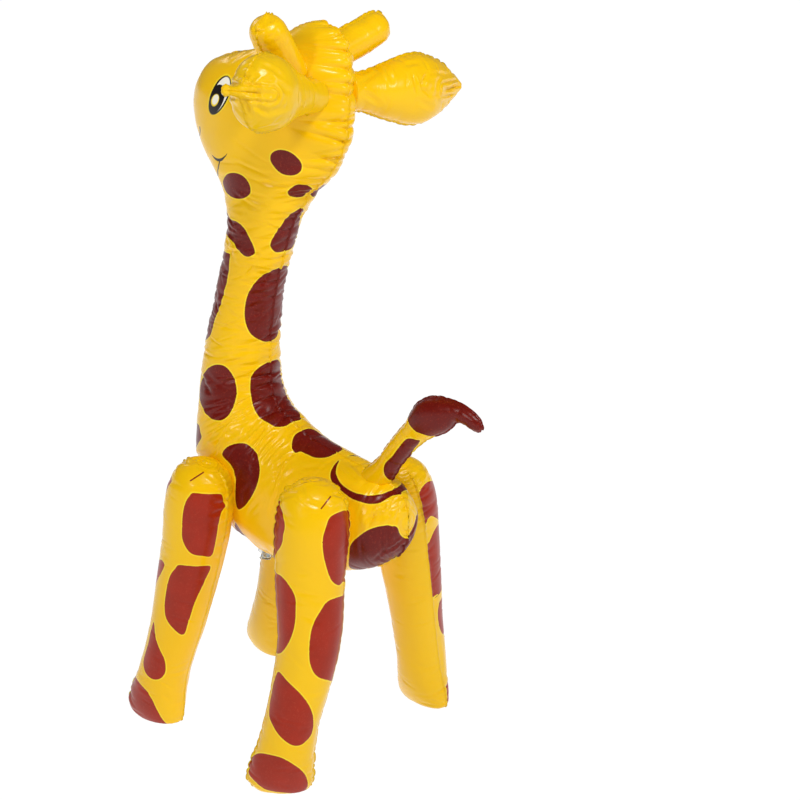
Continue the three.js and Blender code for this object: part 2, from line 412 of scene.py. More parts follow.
def inside_loop(rows, columns, loop):
    inside = np.zeros(rows.shape, bool)
    for (r0, c0), (r1, c1) in zip(loop, np.roll(loop, -1, 0)):
        if r0 == r1:
            continue
        crosses = (rows > r0) != (rows > r1)
        inside ^= crosses & (columns < c0 + (rows - r0) * (c1 - c0) / (r1 - r0))
    return inside


def print_distance(skin, outlines):
    """Millimetres to the nearest printed edge, negative inside, on the first panel's columns."""
    result = np.full((skin.rows, skin.half + 1), FAR_FROM_PRINT)
    margin = int(FAR_FROM_PRINT * MM / skin.step)
    for outline in outlines:
        spots = np.array([skin.locate(*point) for point in outline])
        looped = np.vstack([spots[-1], spots, spots[:2]])
        loop = curve_at(looped, np.arange(1, len(spots) + 1, 1 / OUTLINE_STEPS))
        edge = skin.points_at(loop[:, 0], loop[:, 1])
        low = np.maximum(loop.min(0).astype(int) - (margin, MARGIN_COLUMNS), 0)
        high = np.minimum(loop.max(0).astype(int) + (margin, MARGIN_COLUMNS), (skin.rows - 1, skin.half))
        if low[1] > high[1]:
            continue
        rows, columns = np.mgrid[low[0]:high[0] + 1, low[1]:high[1] + 1]
        inside = inside_loop(rows.astype(float), columns.astype(float), loop)
        tree = kdtree.KDTree(len(edge))
        for number, point in enumerate(edge):
            tree.insert(point, number)
        tree.balance()
        region = skin.points[rows, columns].reshape(-1, 3)
        away = np.array([tree.find(point)[2] for point in region]).reshape(rows.shape) / MM
        window = (slice(low[0], high[0] + 1), slice(low[1], high[1] + 1))
        result[window] = np.minimum(result[window], np.where(inside, -away, away))
    return np.clip(result, -FAR_FROM_PRINT, FAR_FROM_PRINT)


# Wrinkles: how far the skin is pushed out, in millimetres
VALLEY_ROUND = 0.05
# Random ranges of a seam's gathers, as shares of their table's values, and their slant and spread
PINCH_WIDTH = (0.17, 0.36)
PINCH_DEPTH = (0.35, 1.3)
PINCH_LENGTH = (0.4, 1.3)
PINCH_STEP = (0.5, 1.5)
PINCH_SLANT = 0.16
PINCH_SPREAD = 0.9
PINCH_WINDOW = 16.0
# Random ranges of the loose folds: place across the panel, turn, length, width and depth
FOLD_PLACE = (0.12, 0.88)
FOLD_TURN = 0.35
FOLD_LENGTH = (0.4, 1.3)
FOLD_WIDTH = (0.8, 2.2)
FOLD_DEPTH = (0.3, 1.2)
FOLD_MARGIN = 8
FOLD_SWELL = 0.35


def valley(offset):
    """A crisp valley about offset zero."""
    return np.exp(-np.sqrt(offset**2 + VALLEY_ROUND))


def pinches(rng, along, strength, spacing, reach):
    """Gathers along a seam: place, width, depth, then a length and a slant for each side of it."""
    made = []
    place = along[0] + 2
    while place < along[-1]:
        gap = np.interp(place, along, spacing)
        length = np.interp(place, along, reach)
        width = gap * rng.uniform(*PINCH_WIDTH)
        depth = np.interp(place, along, strength) * rng.uniform(*PINCH_DEPTH)
        lengths = length * rng.uniform(*PINCH_LENGTH, 2)
        made.append((place, width, depth, lengths, rng.normal(0, PINCH_SLANT, 2)))
        place += gap * rng.uniform(*PINCH_STEP)
    return made


def pinched(gathers, along, across, side):
    """Sharp valleys with round swellings between them, deepest at the seam. Lengths in millimetres."""
    push = np.zeros(across.shape)
    for place, width, depth, lengths, slants in gathers:
        first, last = np.searchsorted(along, (place - PINCH_WINDOW, place + PINCH_WINDOW))
        out = across[first:last]
        wide = width * (1 + PINCH_SPREAD * out / lengths[side])
        offset = (along[first:last, None] - place - slants[side] * out) / wide
        push[first:last] -= depth * np.clip(1 - out / lengths[side], 0, 1) * valley(offset)
    return push


def short_folds(rng, along, across, share, count, depth, length):
    """Loose folds away from the seams, lying mostly across the piece."""
    push = np.zeros(across.shape)
    wide = across.max(1)
    for _ in range(count):
        row = int(rng.choice(len(share), p=share / share.sum()))
        over = across - rng.uniform(*FOLD_PLACE) * wide[row]
        turn = rng.normal(0, FOLD_TURN)
        size = length * rng.uniform(*FOLD_LENGTH)
        width = rng.uniform(*FOLD_WIDTH)
        down = along[:, None] - along[row]
        near = np.abs(down[:, 0]) < size + FOLD_MARGIN
        p = (down[near] * math.cos(turn) + over[near] * math.sin(turn)) / width
        q = (over[near] * math.cos(turn) - down[near] * math.sin(turn)) / size
        shape = valley(p) - FOLD_SWELL * np.exp(-((p - 2) ** 2))
        push[near] -= depth * rng.uniform(*FOLD_DEPTH) * np.clip(1 - q * q, 0, 1) ** 1.5 * shape
    return push


def ripples(rng, points, size, count):
    """Soft random swells; size in millimetres."""
    total = np.zeros(points.shape[:-1])
    for _ in range(count):
        direction = rng.normal(size=3)
        direction /= np.linalg.norm(direction)
        wave = 2 * math.pi / (size * MM * rng.uniform(0.7, 1.5))
        total += np.sin(points @ direction * wave + rng.uniform(0, 2 * math.pi))
    return total / math.sqrt(count)


def at_rows(table, where):
    """Columns of a table whose first column is the place, at each place of where."""
    places, *columns = np.array(table, float).T
    return [np.interp(where, places, column) for column in columns]


def wrinkles(rng, skin, rules, share, folds, swells, calm):
    """Gathers by a rule for each seam, loose folds, and swells that fade over calm beside the seams."""
    half = skin.half
    seams = [path_lengths(skin.points[:, column]) / MM for column in (0, half)]
    gathers = [pinches(rng, seam, *rule) for seam, rule in zip(seams, rules)]
    panels = []
    for side in (0, 1):
        columns = (np.arange(half + 1) * (1 - 2 * side)) % (2 * half)
        panel = skin.points[:, columns]
        start = path_lengths(panel.transpose(1, 0, 2)).T / MM
        finish = start[:, -1:] - start
        push = pinched(gathers[0], seams[0], start, side) + pinched(gathers[1], seams[1], finish, side)
        run = path_lengths(panel[:, half // 2]) / MM
        push += short_folds(rng, run, start, share, *folds)
        swell = sum(height * ripples(rng, panel, size, count) for height, size, count in swells)
        panels.append(push + swell * smoothstep(np.minimum(start, finish), 0, calm))
    return whole_ring(*panels)


def add_creases(skin, push, creases):
    """Adds folds between two pixels of the photograph: a sharp valley beside a swelling."""
    for x0, y0, x1, y1, depth, width in creases:
        first, last = skin.point_at((x0, y0)), skin.point_at((x1, y1))
        line = last - first
        length = np.linalg.norm(line)
        share = np.clip((skin.points - first) @ line / length**2, 0, 1)
        gap = np.linalg.norm(skin.points - first - share[..., None] * line, axis=-1) / MM
        taper = np.sin(np.pi * np.clip(share, 0.03, 0.97)) ** 0.6
        swell = 0.4 * np.exp(-(((gap - 2.4 * width) / width) ** 2))
        push += depth * taper * (swell - valley(gap / width))


# Seams stand out as a thin welded lip
LIP_HEIGHT = 1.3
LIP_HALF = 0.35


def welded(skin, push, first_heights, second_heights):
    """The pushed skin, with both seams drawn into a lip and the columns beside them pulled close."""
    points = skin.points + push[..., None] * MM * skin.normals
    for column, heights in ((0, first_heights), (skin.half, second_heights)):
        base = points[:, column].copy()
        for side in (-1, 1):
            beside = (column + side) % skin.columns
            step = points[:, beside] - base
            size = np.linalg.norm(step, axis=-1, keepdims=True)
            points[:, beside] = base + step * np.minimum(LIP_HALF * MM / np.maximum(size, 1e-9), 0.6)
        points[:, column] = base + skin.normals[:, column] * heights[:, None] * MM
    return points


# Meshes


def turn_outward(mesh):
    corners = np.zeros(len(mesh.vertices) * 3)
    mesh.vertices.foreach_get("co", corners)
    corners = corners.reshape(-1, 3)
    mesh.calc_loop_triangles()
    triangles = np.zeros(len(mesh.loop_triangles) * 3, int)
    mesh.loop_triangles.foreach_get("vertices", triangles)
    a, b, c = (corners[triangles.reshape(-1, 3)[:, k]] for k in range(3))
    if np.sum(a * np.cross(b, c)) < 0:
        mesh.flip_normals()


def mark_sharp(mesh, columns, sharp):
    """Keeps the shading crisp along the given columns of a grid."""
    pairs = np.zeros(len(mesh.edges) * 2, int)
    mesh.edges.foreach_get("vertices", pairs)
    pairs = pairs.reshape(-1, 2)
    same = (pairs[:, 1] - pairs[:, 0]) % columns == 0
    chosen = same & np.isin(pairs[:, 0] % columns, sharp)
    flag = mesh.attributes.new("sharp_edge", "BOOLEAN", "EDGE")
    flag.data.foreach_set("value", chosen)


def smooth_object(name, vertices, faces):
    mesh = bpy.data.meshes.new(name)
    mesh.from_pydata(vertices, [], faces)
    mesh.update()
    turn_outward(mesh)
    mesh.shade_smooth()
    return linked(name, mesh)


def grid_object(name, points, sharp=()):
    """A closed smooth mesh from a grid of rings, with a cap at both ends."""
    rows, columns = points.shape[:2]
    index = np.arange(rows * columns).reshape(rows, columns)
    beside = np.roll(index, -1, 1)
    faces = np.stack([index[:-1], beside[:-1], beside[1:], index[1:]], -1).reshape(-1, 4).tolist()
    vertices = np.vstack([points.reshape(-1, 3), points[0].mean(0), points[-1].mean(0)])
    first, last = rows * columns, rows * columns + 1
    for k in range(columns):
        faces.append([first, int(beside[0, k]), int(index[0, k])])
        faces.append([last, int(index[-1, k]), int(beside[-1, k])])
    made = smooth_object(name, vertices.tolist(), faces)
    if len(sharp):
        mark_sharp(made.data, columns, sharp)
    return made


def set_attribute(made, name, values, ends=0.0):
    """A number for each point of a grid mesh, and one for its two end points."""
    attribute = made.data.attributes.new(name, "FLOAT", "POINT")
    spare = len(made.data.vertices) - values.size
    flat = np.concatenate([values.reshape(-1), np.full(spare, ends)])
    attribute.data.foreach_set("value", flat.astype(np.float32))


# Body, neck and head: two panels welded along the middle plane
BODY_ROWS = 1000
BODY_HALF = 88
FACE_FROM_STATION = 14.5

body_angles = ring_angles(BODY_HALF)
trial = np.linspace(0, LAST_STATION, 4000)
trial_run = path_lengths(body_rings(trial, np.array([0.0, math.pi / 2, math.pi]))).mean(1)
body_where = np.interp(np.linspace(0, trial_run[-1], BODY_ROWS), trial_run, trial)
body_skin = Skin(placed(body_rings(body_where, body_angles)), body_angles, body_where)

# Spots of the body, neck and head
BODY_SPOTS = [
    oval(285.5, 163, 16.5, 11.5, 32),
    oval(237, 185.5, 15, 12, 35),
    [(287.4, 193), (294, 187.6), (301, 186.4), (308, 187.6), (313.2, 191.4), (307, 198), (299, 200),
     (291, 198.6)],
    [(303, 208.5), (294, 213), (284, 223), (273, 238), (270.5, 246), (276, 252.5), (284, 252),
     at(13.9, 180), at(13.85, 208), at(15.1, 212), at(15.75, 208)],
    [(229.5, 218), (238, 222), (246, 231), (252, 243), (255, 253), (250, 256), (245, 256), (238, 249.5),
     (231, 240), at(14.5, 35), at(14.9, 10), at(15.4, 15), at(15.3, 45)],
    [(226.5, 253), (228.5, 263), (227, 280), (222, 300), (215, 319), (209, 337), at(10.7, 25), at(11.3, 0),
     at(12.2, -8), at(13.1, -5), at(13.6, 15)],
    [(279, 268), (268, 273), (257, 281), (248, 295), (244.5, 313), (247, 327), (253, 336), (263, 341.5),
     at(10.85, 178), at(10.85, 208), at(12.3, 212), at(13.25, 208), at(13.25, 180)],
    oval(218, 392.5, 18.5, 28, 0),
    [(268, 363), (258, 368), (251, 379), (251, 397), (257, 413), (265, 421), (275, 426.5), (285, 426),
     at(6.45, 180), at(6.45, 206), at(8.5, 212), at(10.3, 206), at(10.3, 180)],
    [(198.5, 424), (201, 432), (200.5, 441), at(8.4, 25), at(8.6, -12), at(9.0, -5), at(9.0, 30)],
    [(222, 454), (231, 445), (245, 444), (255, 453), (259, 463), (259, 475), (256, 487), (250, 499),
     (241, 509), (237, 507), (236, 487), (234, 475), (230, 465)],
    [(295, 452.5), (292, 445), (295, 434.5), (305, 430), at(5.6, 181), at(5.3, 206), at(4.7, 212),
     at(4.2, 206), at(4.25, 182), (336, 453), (327, 456.5), (316, 457.5), (307.5, 454.5), (301, 451)],
    [(339, 459.5), (332.5, 467.5), (330, 476), (332.5, 482.5), (340, 490), (350, 497.5), (360, 502),
     (370, 504), (380, 502.5), (388, 498), (396, 494), at(1.35, 182), at(1.35, 204), at(1.75, 204),
     at(1.85, 180), (392, 489), (382.5, 493), (370, 495), (360, 494), (350, 490), (341, 484), (337, 476),
     (336, 469)],
    [(351, 544), (360, 535), (370, 529), (381, 526), (391, 526), (399, 530), at(0.75, 0), at(0.8, -35),
     at(1.6, -35), at(1.75, -5), (392, 561.5), (384, 566), (372, 570), (361, 571), (350, 568), (349, 556)],
    [(234, 525), (240, 531), (247, 541), at(6.0, 12), at(6.25, -15), at(6.6, -5)],
]

body_spots = print_distance(body_skin, BODY_SPOTS)

# From rump to crown: station, force, spacing and reach under and then over, and the share of folds
BODY_GATHERS = [
    (0, 2.8, 6, 20, 3.0, 6, 22, 0.6),
    (2, 2.4, 7, 28, 2.7, 7, 30, 0.8),
    (4, 1.3, 9, 28, 1.4, 9, 24, 0.7),
    (7, 1.5, 9, 30, 3.0, 8, 36, 1.0),
    (9, 1.9, 8, 30, 3.6, 7, 38, 1.4),
    (11, 1.7, 7, 32, 2.0, 7, 34, 1.3),
    (14, 1.8, 7, 32, 2.0, 8, 34, 1.4),
    (16, 1.5, 8, 20, 3.0, 8, 36, 0.8),
    (18, 0.9, 10, 14, 4.6, 8, 44, 0.1),
    (21, 0.9, 9, 16, 5.4, 8, 46, 0.0),
    (24, 3.0, 6, 38, 4.8, 7, 36, 0.0),
    (27, 2.2, 5, 16, 2.2, 5, 14, 0.0),
]
# Folds: count, depth and length. Swells: height, size and count of the waves
BODY_FOLDS = (260, 1.0, 17.0)
BODY_SWELLS = [(0.45, 55, 6), (0.12, 18, 8)]
BODY_CALM = 14
BODY_SEED = 11

# Folds that the photograph shows on the near side: both ends in pixels, depth and width
CREASES = [
    (227, 241, 257, 255, 3.4, 1.3), (246, 51, 231, 63, 1.6, 1.3), (253, 53, 239, 69, 1.4, 1.3),
    (238, 50, 226, 60, 1.3, 1.3), (232, 406, 266, 393, 1.5, 1.9), (230, 430, 254, 419, 1.1, 1.6),
    (250, 444, 266, 427, 2.4, 1.3), (256, 455, 275, 433, 2.6, 1.3), (264, 463, 286, 440, 2.5, 1.3),
    (273, 470, 295, 452, 2.2, 1.3), (246, 433, 262, 413, 1.1, 1.5), (213, 424, 237, 438, 0.9, 1.6),
    (278, 484, 297, 470, 0.9, 1.6), (382, 507, 406, 495, 2.6, 1.3), (380, 518, 408, 506, 2.6, 1.4),
    (366, 520, 384, 511, 1.8, 1.4), (372, 474, 384, 486, 1.1, 1.4), (352, 462, 366, 480, 1.0, 1.6),
    (342, 466, 356, 480, 0.8, 1.4), (247, 514, 263, 499, 1.1, 1.5), (386, 552, 404, 540, 1.4, 1.4),
    (374, 560, 388, 546, 0.9, 1.4), (288, 500, 318, 478, 1.6, 1.6), (262, 484, 284, 470, 1.4, 1.5),
    (300, 468, 322, 466, 1.2, 1.6), (228, 446, 246, 436, 1.6, 1.4), (206, 440, 226, 432, 1.3, 1.4),
    (236, 368, 262, 362, 1.3, 1.5), (216, 356, 244, 352, 1.4, 1.4), (212, 346, 236, 342, 1.0, 1.4),
    (222, 300, 246, 304, 0.9, 1.3), (226, 284, 252, 280, 0.9, 1.3), (262, 262, 288, 254, 1.0, 1.4),
    (250, 206, 276, 214, 0.8, 1.5), (222, 206, 246, 212, 0.8, 1.5),
]

# The valve lies under the belly, in a round pocket
VALVE_PLACE = placed(np.array([14.0, -50.0, 249.0]))
VALVE_OUT = np.array([0.16, -0.2, -1.0])
VALVE_OUT /= np.linalg.norm(VALVE_OUT)
VALVE_RIGHT = np.cross(VALVE_OUT, [0.0, 1.0, 0.0])
VALVE_RIGHT /= np.linalg.norm(VALVE_RIGHT)
VALVE_UP = np.cross(VALVE_OUT, VALVE_RIGHT)
POCKET_RADIUS = 8.2
POCKET_DEPTH = 8.0
POCKET_RIM = (POCKET_RADIUS - 0.3, POCKET_RADIUS + 0.7)
POCKET_SPARE = 0.3
POCKET_NEAR = 10
# Wrinkles and the seam's lip fade between these distances from the valve's axis
VALVE_NEAR = 25
VALVE_FAR = 99
WRINKLE_FADE = (13, 22)
LIP_FADE = (13, 18)


def valve_axes(points):
    """Millimetres from the valve's axis, and above the skin along it."""
    away = (points - VALVE_PLACE) / MM
    height = away @ VALVE_OUT
    return np.linalg.norm(away - height[..., None] * VALVE_OUT, axis=-1), height


def sink_pocket(points):
    """Presses the skin in where the valve stands."""
    radius, height = valve_axes(points)
    inside = (1 - smoothstep(radius, *POCKET_RIM)) * (np.abs(height) < POCKET_NEAR)
    points -= (inside * (height + POCKET_DEPTH + POCKET_SPARE))[..., None] * VALVE_OUT * MM


def body_push():
    """How far each point of the body's rings is pushed out."""
    rules = at_rows(BODY_GATHERS, body_where)
    rng = np.random.default_rng(BODY_SEED)
    push = wrinkles(rng, body_skin, (rules[:3], rules[3:6]), rules[6], BODY_FOLDS, BODY_SWELLS, BODY_CALM)
    ends = smoothstep(body_where, 0, 1.0) * smoothstep(LAST_STATION - body_where, 0, 1.2)
    push *= 0.3 + 0.7 * ends[:, None]
    add_creases(body_skin, push, CREASES)
    return push


def build_body():
    radius, height = valve_axes(body_skin.points)
    radius = np.where(np.abs(height) < VALVE_NEAR, radius, VALVE_FAR)
    push = body_push() * smoothstep(radius, *WRINKLE_FADE)
    upper = LIP_HEIGHT * smoothstep(body_where, 0, 0.4) * smoothstep(LAST_STATION - body_where, 0, 0.5)
    under = upper * (0.1 + 0.9 * smoothstep(radius[:, 0], *LIP_FADE))
    points = welded(body_skin, push, under, upper)
    sink_pocket(points)
    left = points[:, :BODY_HALF + 1]
    right = np.concatenate([points[:, BODY_HALF:], points[:, :1]], 1)[:, ::-1]
    pixels = body_skin.pixels[:, :BODY_HALF + 1]
    in_face = (body_skin.facing[:, :BODY_HALF + 1] > 0) & (body_where > FACE_FROM_STATION)[:, None]
    made = []
    for name, panel in (("body_panel_left", left), ("body_panel_right", right)):
        piece = grid_object(name, panel, sharp=(0, BODY_HALF))
        set_attribute(piece, "spot", body_spots, FAR_FROM_PRINT)
        set_attribute(piece, "photo_x", pixels[..., 0])
        set_attribute(piece, "photo_y", pixels[..., 1])
        set_attribute(piece, "face_side", np.where(in_face, 1.0, -1.0), -1.0)
        made.append(piece)
    return made


body_pieces = build_body()

# Legs, ears, horns and tail: tubes about a middle line, with two panels each
PROFILE_SAMPLES = 1500
LEAST_HALF = 0.4
UPWARD = [0.0, 0.0, 1.0]
TUBE_SWELL = (40, 7)
TUBE_CALM = 10


def even_rows(table, count, scale, samples):
    """Float row numbers of a table at even steps along its curve."""
    where = np.linspace(0, len(table) - 1, samples)
    run = path_lengths(curve_at(table, where)[:, :3] * scale)
    return np.interp(np.linspace(0, run[-1], count), run, where)


def spread_profile(profile, count, length):
    """Profile rows at even steps along the skin, for a piece of the given length."""
    return curve_at(profile, even_rows(profile, count, (length, 1.0, 1.0), PROFILE_SAMPLES))


def middle_line(points, shares):
    """Points of the smooth line at shares of its length; below zero it runs straight back."""
    line = curve_at(points, np.linspace(0, len(points) - 1, 24 * (len(points) - 1) + 1))
    lengths = path_lengths(line)
    wanted = shares * lengths[-1]
    found = np.stack([np.interp(wanted, lengths, line[:, k]) for k in range(3)], -1)
    back = line[0] - line[1]
    back /= np.linalg.norm(back)
    return found + np.maximum(-wanted, 0)[:, None] * back


def tube(middles, rows, seams, angles, flip=1):
    """Rings about a middle line. Angle 0 is one seam and 180 degrees the other."""
    along = np.gradient(middles, axis=0)
    along /= np.linalg.norm(along, axis=-1, keepdims=True)
    seams = seams - along * np.sum(seams * along, -1, keepdims=True)
    seams /= np.linalg.norm(seams, axis=-1, keepdims=True)
    out = np.cross(along, seams) * flip
    wide = (seams * np.maximum(rows[:, 1:2], LEAST_HALF))[:, None]
    thick = (out * np.maximum(rows[:, 2:3], LEAST_HALF))[:, None]
    return middles[:, None] + np.cos(angles)[:, None] * wide + np.sin(angles)[:, None] * thick


def tube_wrinkles(seed, skin, where, table, folds, swell):
    """Wrinkles of a tube by one table for both seams."""
    rule = at_rows(table, where)
    swells = [(swell, *TUBE_SWELL)]
    rng = np.random.default_rng(seed)
    return wrinkles(rng, skin, (rule, rule), np.ones(skin.rows), folds, swells, TUBE_CALM)


LEG_ROWS = 320
LEG_HALF = 44
LEG_LENGTH = 400.0
leg_angles = ring_angles(LEG_HALF)
leg_rows = spread_profile(LEG_PROFILE, LEG_ROWS, LEG_LENGTH)


def leg_skin(points, side, turn, top):
    share = leg_rows[:, 0]
    angle = np.radians(turn[0] + (turn[1] - turn[0]) * np.clip(share, 0, 1))
    seams = np.stack([-side * np.sin(angle), np.cos(angle), np.zeros(LEG_ROWS)], -1)
    middles = middle_line(points, np.where(share < 0, share * top, share))
    return Skin(placed(tube(middles, leg_rows, seams, leg_angles, side)), leg_angles, share)


leg_skins = {name: leg_skin(*leg) for name, leg in LEGS.items()}

# Spots of the legs' outer panels. Angle 0 is the rear seam and 180 degrees the front one
LEG_SPOTS = {
    "leg_front_left": [
        [(195, 493), (220, 494), (224, 501), (226, 507.5), (221, 515), (217.5, 530), (212.5, 554.5),
         (202.5, 556), (190, 552.5), (182.5, 540), (182, 525), (185, 505), (190, 496)],
        [(182.5, 565), (210, 566), (205, 580), (196, 600), (189, 620), (184, 634.5), (174, 629),
         (166, 617.5), (164.5, 602.5), (169, 580), (175, 569)],
        [(154, 622), (156, 637.5), (164, 657.5), (165.5, 667.5), (164, 675), (157.5, 679.5), (149, 677.5),
         (143.5, 667.5), (144, 657.5), (148.5, 642.5), (151, 630)],
        [(135.5, 676), (142, 686), (150, 697), (158, 710), (165, 722), at(1.0, 20), at(1.0, 90),
         at(1.0, 170), at(0.95, 186), at(0.88, 186)],
        [(175, 463), (171.5, 472), (170, 484), at(0.12, 168), at(0.05, 172), at(-0.04, 165)],
        [at(0.35, 178), (161.5, 560), (161.5, 572), at(0.5, 168), at(0.52, 186), at(0.36, 186)],
    ],
    "leg_hind_left": [
        [(271, 497), (280, 507.5), (284, 522.5), (282.5, 535), (279.5, 548), at(0.13, 180), at(0.12, 190),
         at(-0.06, 190)],
        [(343, 511), (348, 511), at(-0.04, -14), at(0.19, -14), (343, 582), (339, 585.5), (331, 580),
         (325.5, 562.5), (323, 542.5), (325.5, 527.5), (332, 516)],
        [(277, 574), (285, 580), (294, 595), (296, 612.5), (294, 630), (287.5, 645), (280.5, 653),
         at(0.47, 180), at(0.45, 190), at(0.19, 190)],
        [(343, 595), (330, 600), (319, 612.5), (311.5, 630), (309, 650), (311, 665), (317, 676), (327, 680),
         at(0.54, 0), at(0.52, -14), at(0.24, -14)],
        [(278, 672), (290, 684), (305, 700), (313, 717.5), (312, 732.5), (305, 742.5), (295, 746),
         (282.5, 739), (272.5, 725), (269, 712.5), (271.5, 692.5)],
        [(254, 755), (262.5, 753.5), (280, 757.5), (295, 766), (305, 775), (308, 784), (306, 790),
         (298, 793), (285, 793), (268, 790), (255, 782), (248, 770), (249, 760)],
    ],
    "leg_hind_right": [
        [(425, 484), (434, 481), at(0.0, 60), at(0.06, 75), at(0.13, 60), (432, 516), (427, 523),
         at(0.1, -12), at(-0.04, -12)],
        [at(0.12, 32), at(0.16, 60), at(0.24, 80), at(0.34, 84), at(0.42, 66), (437, 597), (431, 597),
         at(0.42, -12), at(0.2, -12), (429, 543)],
        [at(0.48, 22), at(0.49, 50), at(0.55, 72), at(0.63, 66), at(0.66, 38), at(0.61, 18), at(0.53, 12)],
        [at(0.62, 118), at(0.66, 150), at(0.76, 162), at(0.82, 135), at(0.79, 98), at(0.7, 90)],
        [at(0.87, 24), at(0.9, 10), at(0.97, 10), at(1.0, 40), at(1.0, 100), at(1.0, 150), at(0.95, 165),
         at(0.89, 140), at(0.86, 80)],
    ],
}
# A short dark line on the outer panel of the near legs: both ends in pixels
LEG_MARKS = {
    "leg_front_left": ((190, 481), (204, 472)),
    "leg_hind_left": ((321, 509), (331, 496)),
}
MARK_OFF = 9.0
# Gathers of a leg: share of its length, force, spacing and reach
LEG_GATHERS = [
    (-0.17, 2.0, 5, 14),
    (-0.08, 2.8, 6, 24),
    (0.05, 1.6, 8, 22),
    (0.3, 0.6, 10, 14),
    (0.7, 0.5, 9, 14),
    (0.86, 1.4, 7, 18),
    (0.94, 2.3, 5.5, 18),
    (1.0, 1.8, 4.5, 12),
]
LEG_FOLDS = (60, 0.6, 12.0)
LEG_SWELL = 0.22
LEG_SEED = 40
# The lips of a leg start on the rounded top and lie lower along its middle
LIP_START = (-0.16, -0.13)
LOWER_FROM = (0.0, 0.15)
LOWER_UNTIL = (0.75, 0.9)
LOWER_BY = 0.6
# Folds that the photograph shows on the legs' tops: both ends in pixels, depth and width
LEG_CREASES = {
    "leg_front_left": [
        (207, 474, 226, 499, 1.8, 1.4), (196, 490, 224, 487, 1.4, 1.5), (176, 457, 190, 463, 1.2, 1.5),
        (212, 500, 226, 508, 1.2, 1.3), (210, 516, 222, 511, 1.2, 1.3),
    ],
    "leg_hind_left": [
        (273, 492, 299, 484, 1.7, 1.4), (299, 484, 317, 480, 1.5, 1.5), (335, 493, 350, 508, 1.9, 1.4),
        (300, 487, 307, 502, 1.3, 1.6), (307, 503, 322, 508, 1.2, 1.6), (330, 502, 346, 500, 1.4, 1.3),
        (276, 502, 290, 496, 1.2, 1.4),
    ],
    "leg_hind_right": [
        (400, 487, 429, 480, 1.8, 1.3), (402, 475, 425, 469, 1.8, 1.3), (404, 499, 420, 497, 1.5, 1.3),
        (406, 520, 424, 516, 1.2, 1.4), (398, 493, 410, 510, 1.2, 1.5),
    ],
}


def leg_prints():
    """Each leg's printed distance; the far front leg repeats the near one."""
    found = {name: print_distance(leg_skins[name], outlines) for name, outlines in LEG_SPOTS.items()}
    found["leg_front_right"] = found["leg_front_left"]
    return found


def outer_panel(skin):
    """Millimetres from the nearer seam, positive on the outer panel."""
    around = path_lengths(skin.points.transpose(1, 0, 2)).T / MM
    to_seam = np.minimum(around, np.abs(around[:, skin.half:skin.half + 1] - around))
    side = np.where(np.arange(skin.columns) > skin.half, -1.0, 1.0)
    closing = np.linalg.norm(skin.points[:, -1] - skin.points[:, 0], axis=-1)[:, None] / MM
    return side * np.minimum(to_seam, around[:, -1:] + closing - around)


def mark_lines(skin, name):
    """Pixels across and share along the dark line, far off where there is none."""
    away = np.full(skin.facing.shape, MARK_OFF)
    if name not in LEG_MARKS:
        return away, away
    (x0, y0), (x1, y1) = LEG_MARKS[name]
    size = math.hypot(x1 - x0, y1 - y0)
    dx, dy = (x1 - x0) / size, (y1 - y0) / size
    px = skin.pixels[..., 0] - (x0 + x1) / 2
    py = skin.pixels[..., 1] - (y0 + y1) / 2
    seen = skin.facing > 0
    return np.where(seen, px * dy - py * dx, away), np.where(seen, (px * dx + py * dy) * 2 / size, away)


def build_leg(number, name, prints):
    skin = leg_skins[name]
    share = leg_rows[:, 0]
    push = tube_wrinkles(LEG_SEED + number, skin, share, LEG_GATHERS, LEG_FOLDS, LEG_SWELL)
    add_creases(skin, push, LEG_CREASES.get(name, []))
    middle = smoothstep(share, *LOWER_FROM) * (1 - smoothstep(share, *LOWER_UNTIL))
    heights = LIP_HEIGHT * smoothstep(share, *LIP_START) * (1 - LOWER_BY * middle)
    points = welded(skin, push, heights, heights)
    points[..., 2] = np.maximum(points[..., 2], 0)
    piece = grid_object(name + "_skin", points)
    spots = np.full((LEG_ROWS, 2 * LEG_HALF), FAR_FROM_PRINT)
    spots[:, :LEG_HALF + 1] = prints[name]
    set_attribute(piece, "spot", np.maximum(spots, 0.5 - outer_panel(skin)), FAR_FROM_PRINT)
    across, along = mark_lines(skin, name)
    set_attribute(piece, "mark_across", across, MARK_OFF)
    set_attribute(piece, "mark_along", along, MARK_OFF)
    return piece


spots_of_legs = leg_prints()
legs = {name: build_leg(number, name, spots_of_legs) for number, name in enumerate(LEGS)}

# Ears: their tips are folded in along the middle, and a ring-shaped dent lies round the fold
EAR_ROWS = 230
EAR_HALF = 80
EAR_LENGTH = 195.0
EAR_FOLDS = (26, 0.5, 8.0)
EAR_SWELL = 0.2
EAR_SEED = 60
EAR_FULL_THICKNESS = 9
# Gathers of an ear: share of its length, force, spacing and reach
EAR_GATHERS = [
    (0, 1.8, 6.5, 18),
    (0.2, 2.0, 6.5, 18),
    (0.5, 1.4, 6.5, 14),
    (0.8, 2.0, 6.5, 12),
    (1, 1.2, 6.5, 6),
]
FOLD_FROM = 0.71
FOLD_SINK = 3.2
# Rings of the dent: distance from the fold, height and half width in millimetres
FOLD_RINGS = [(3.2, 0.7, 0.9), (5.4, -1.0, 0.8), (7.4, 0.6, 1.1), (11.0, -0.5, 1.8)]
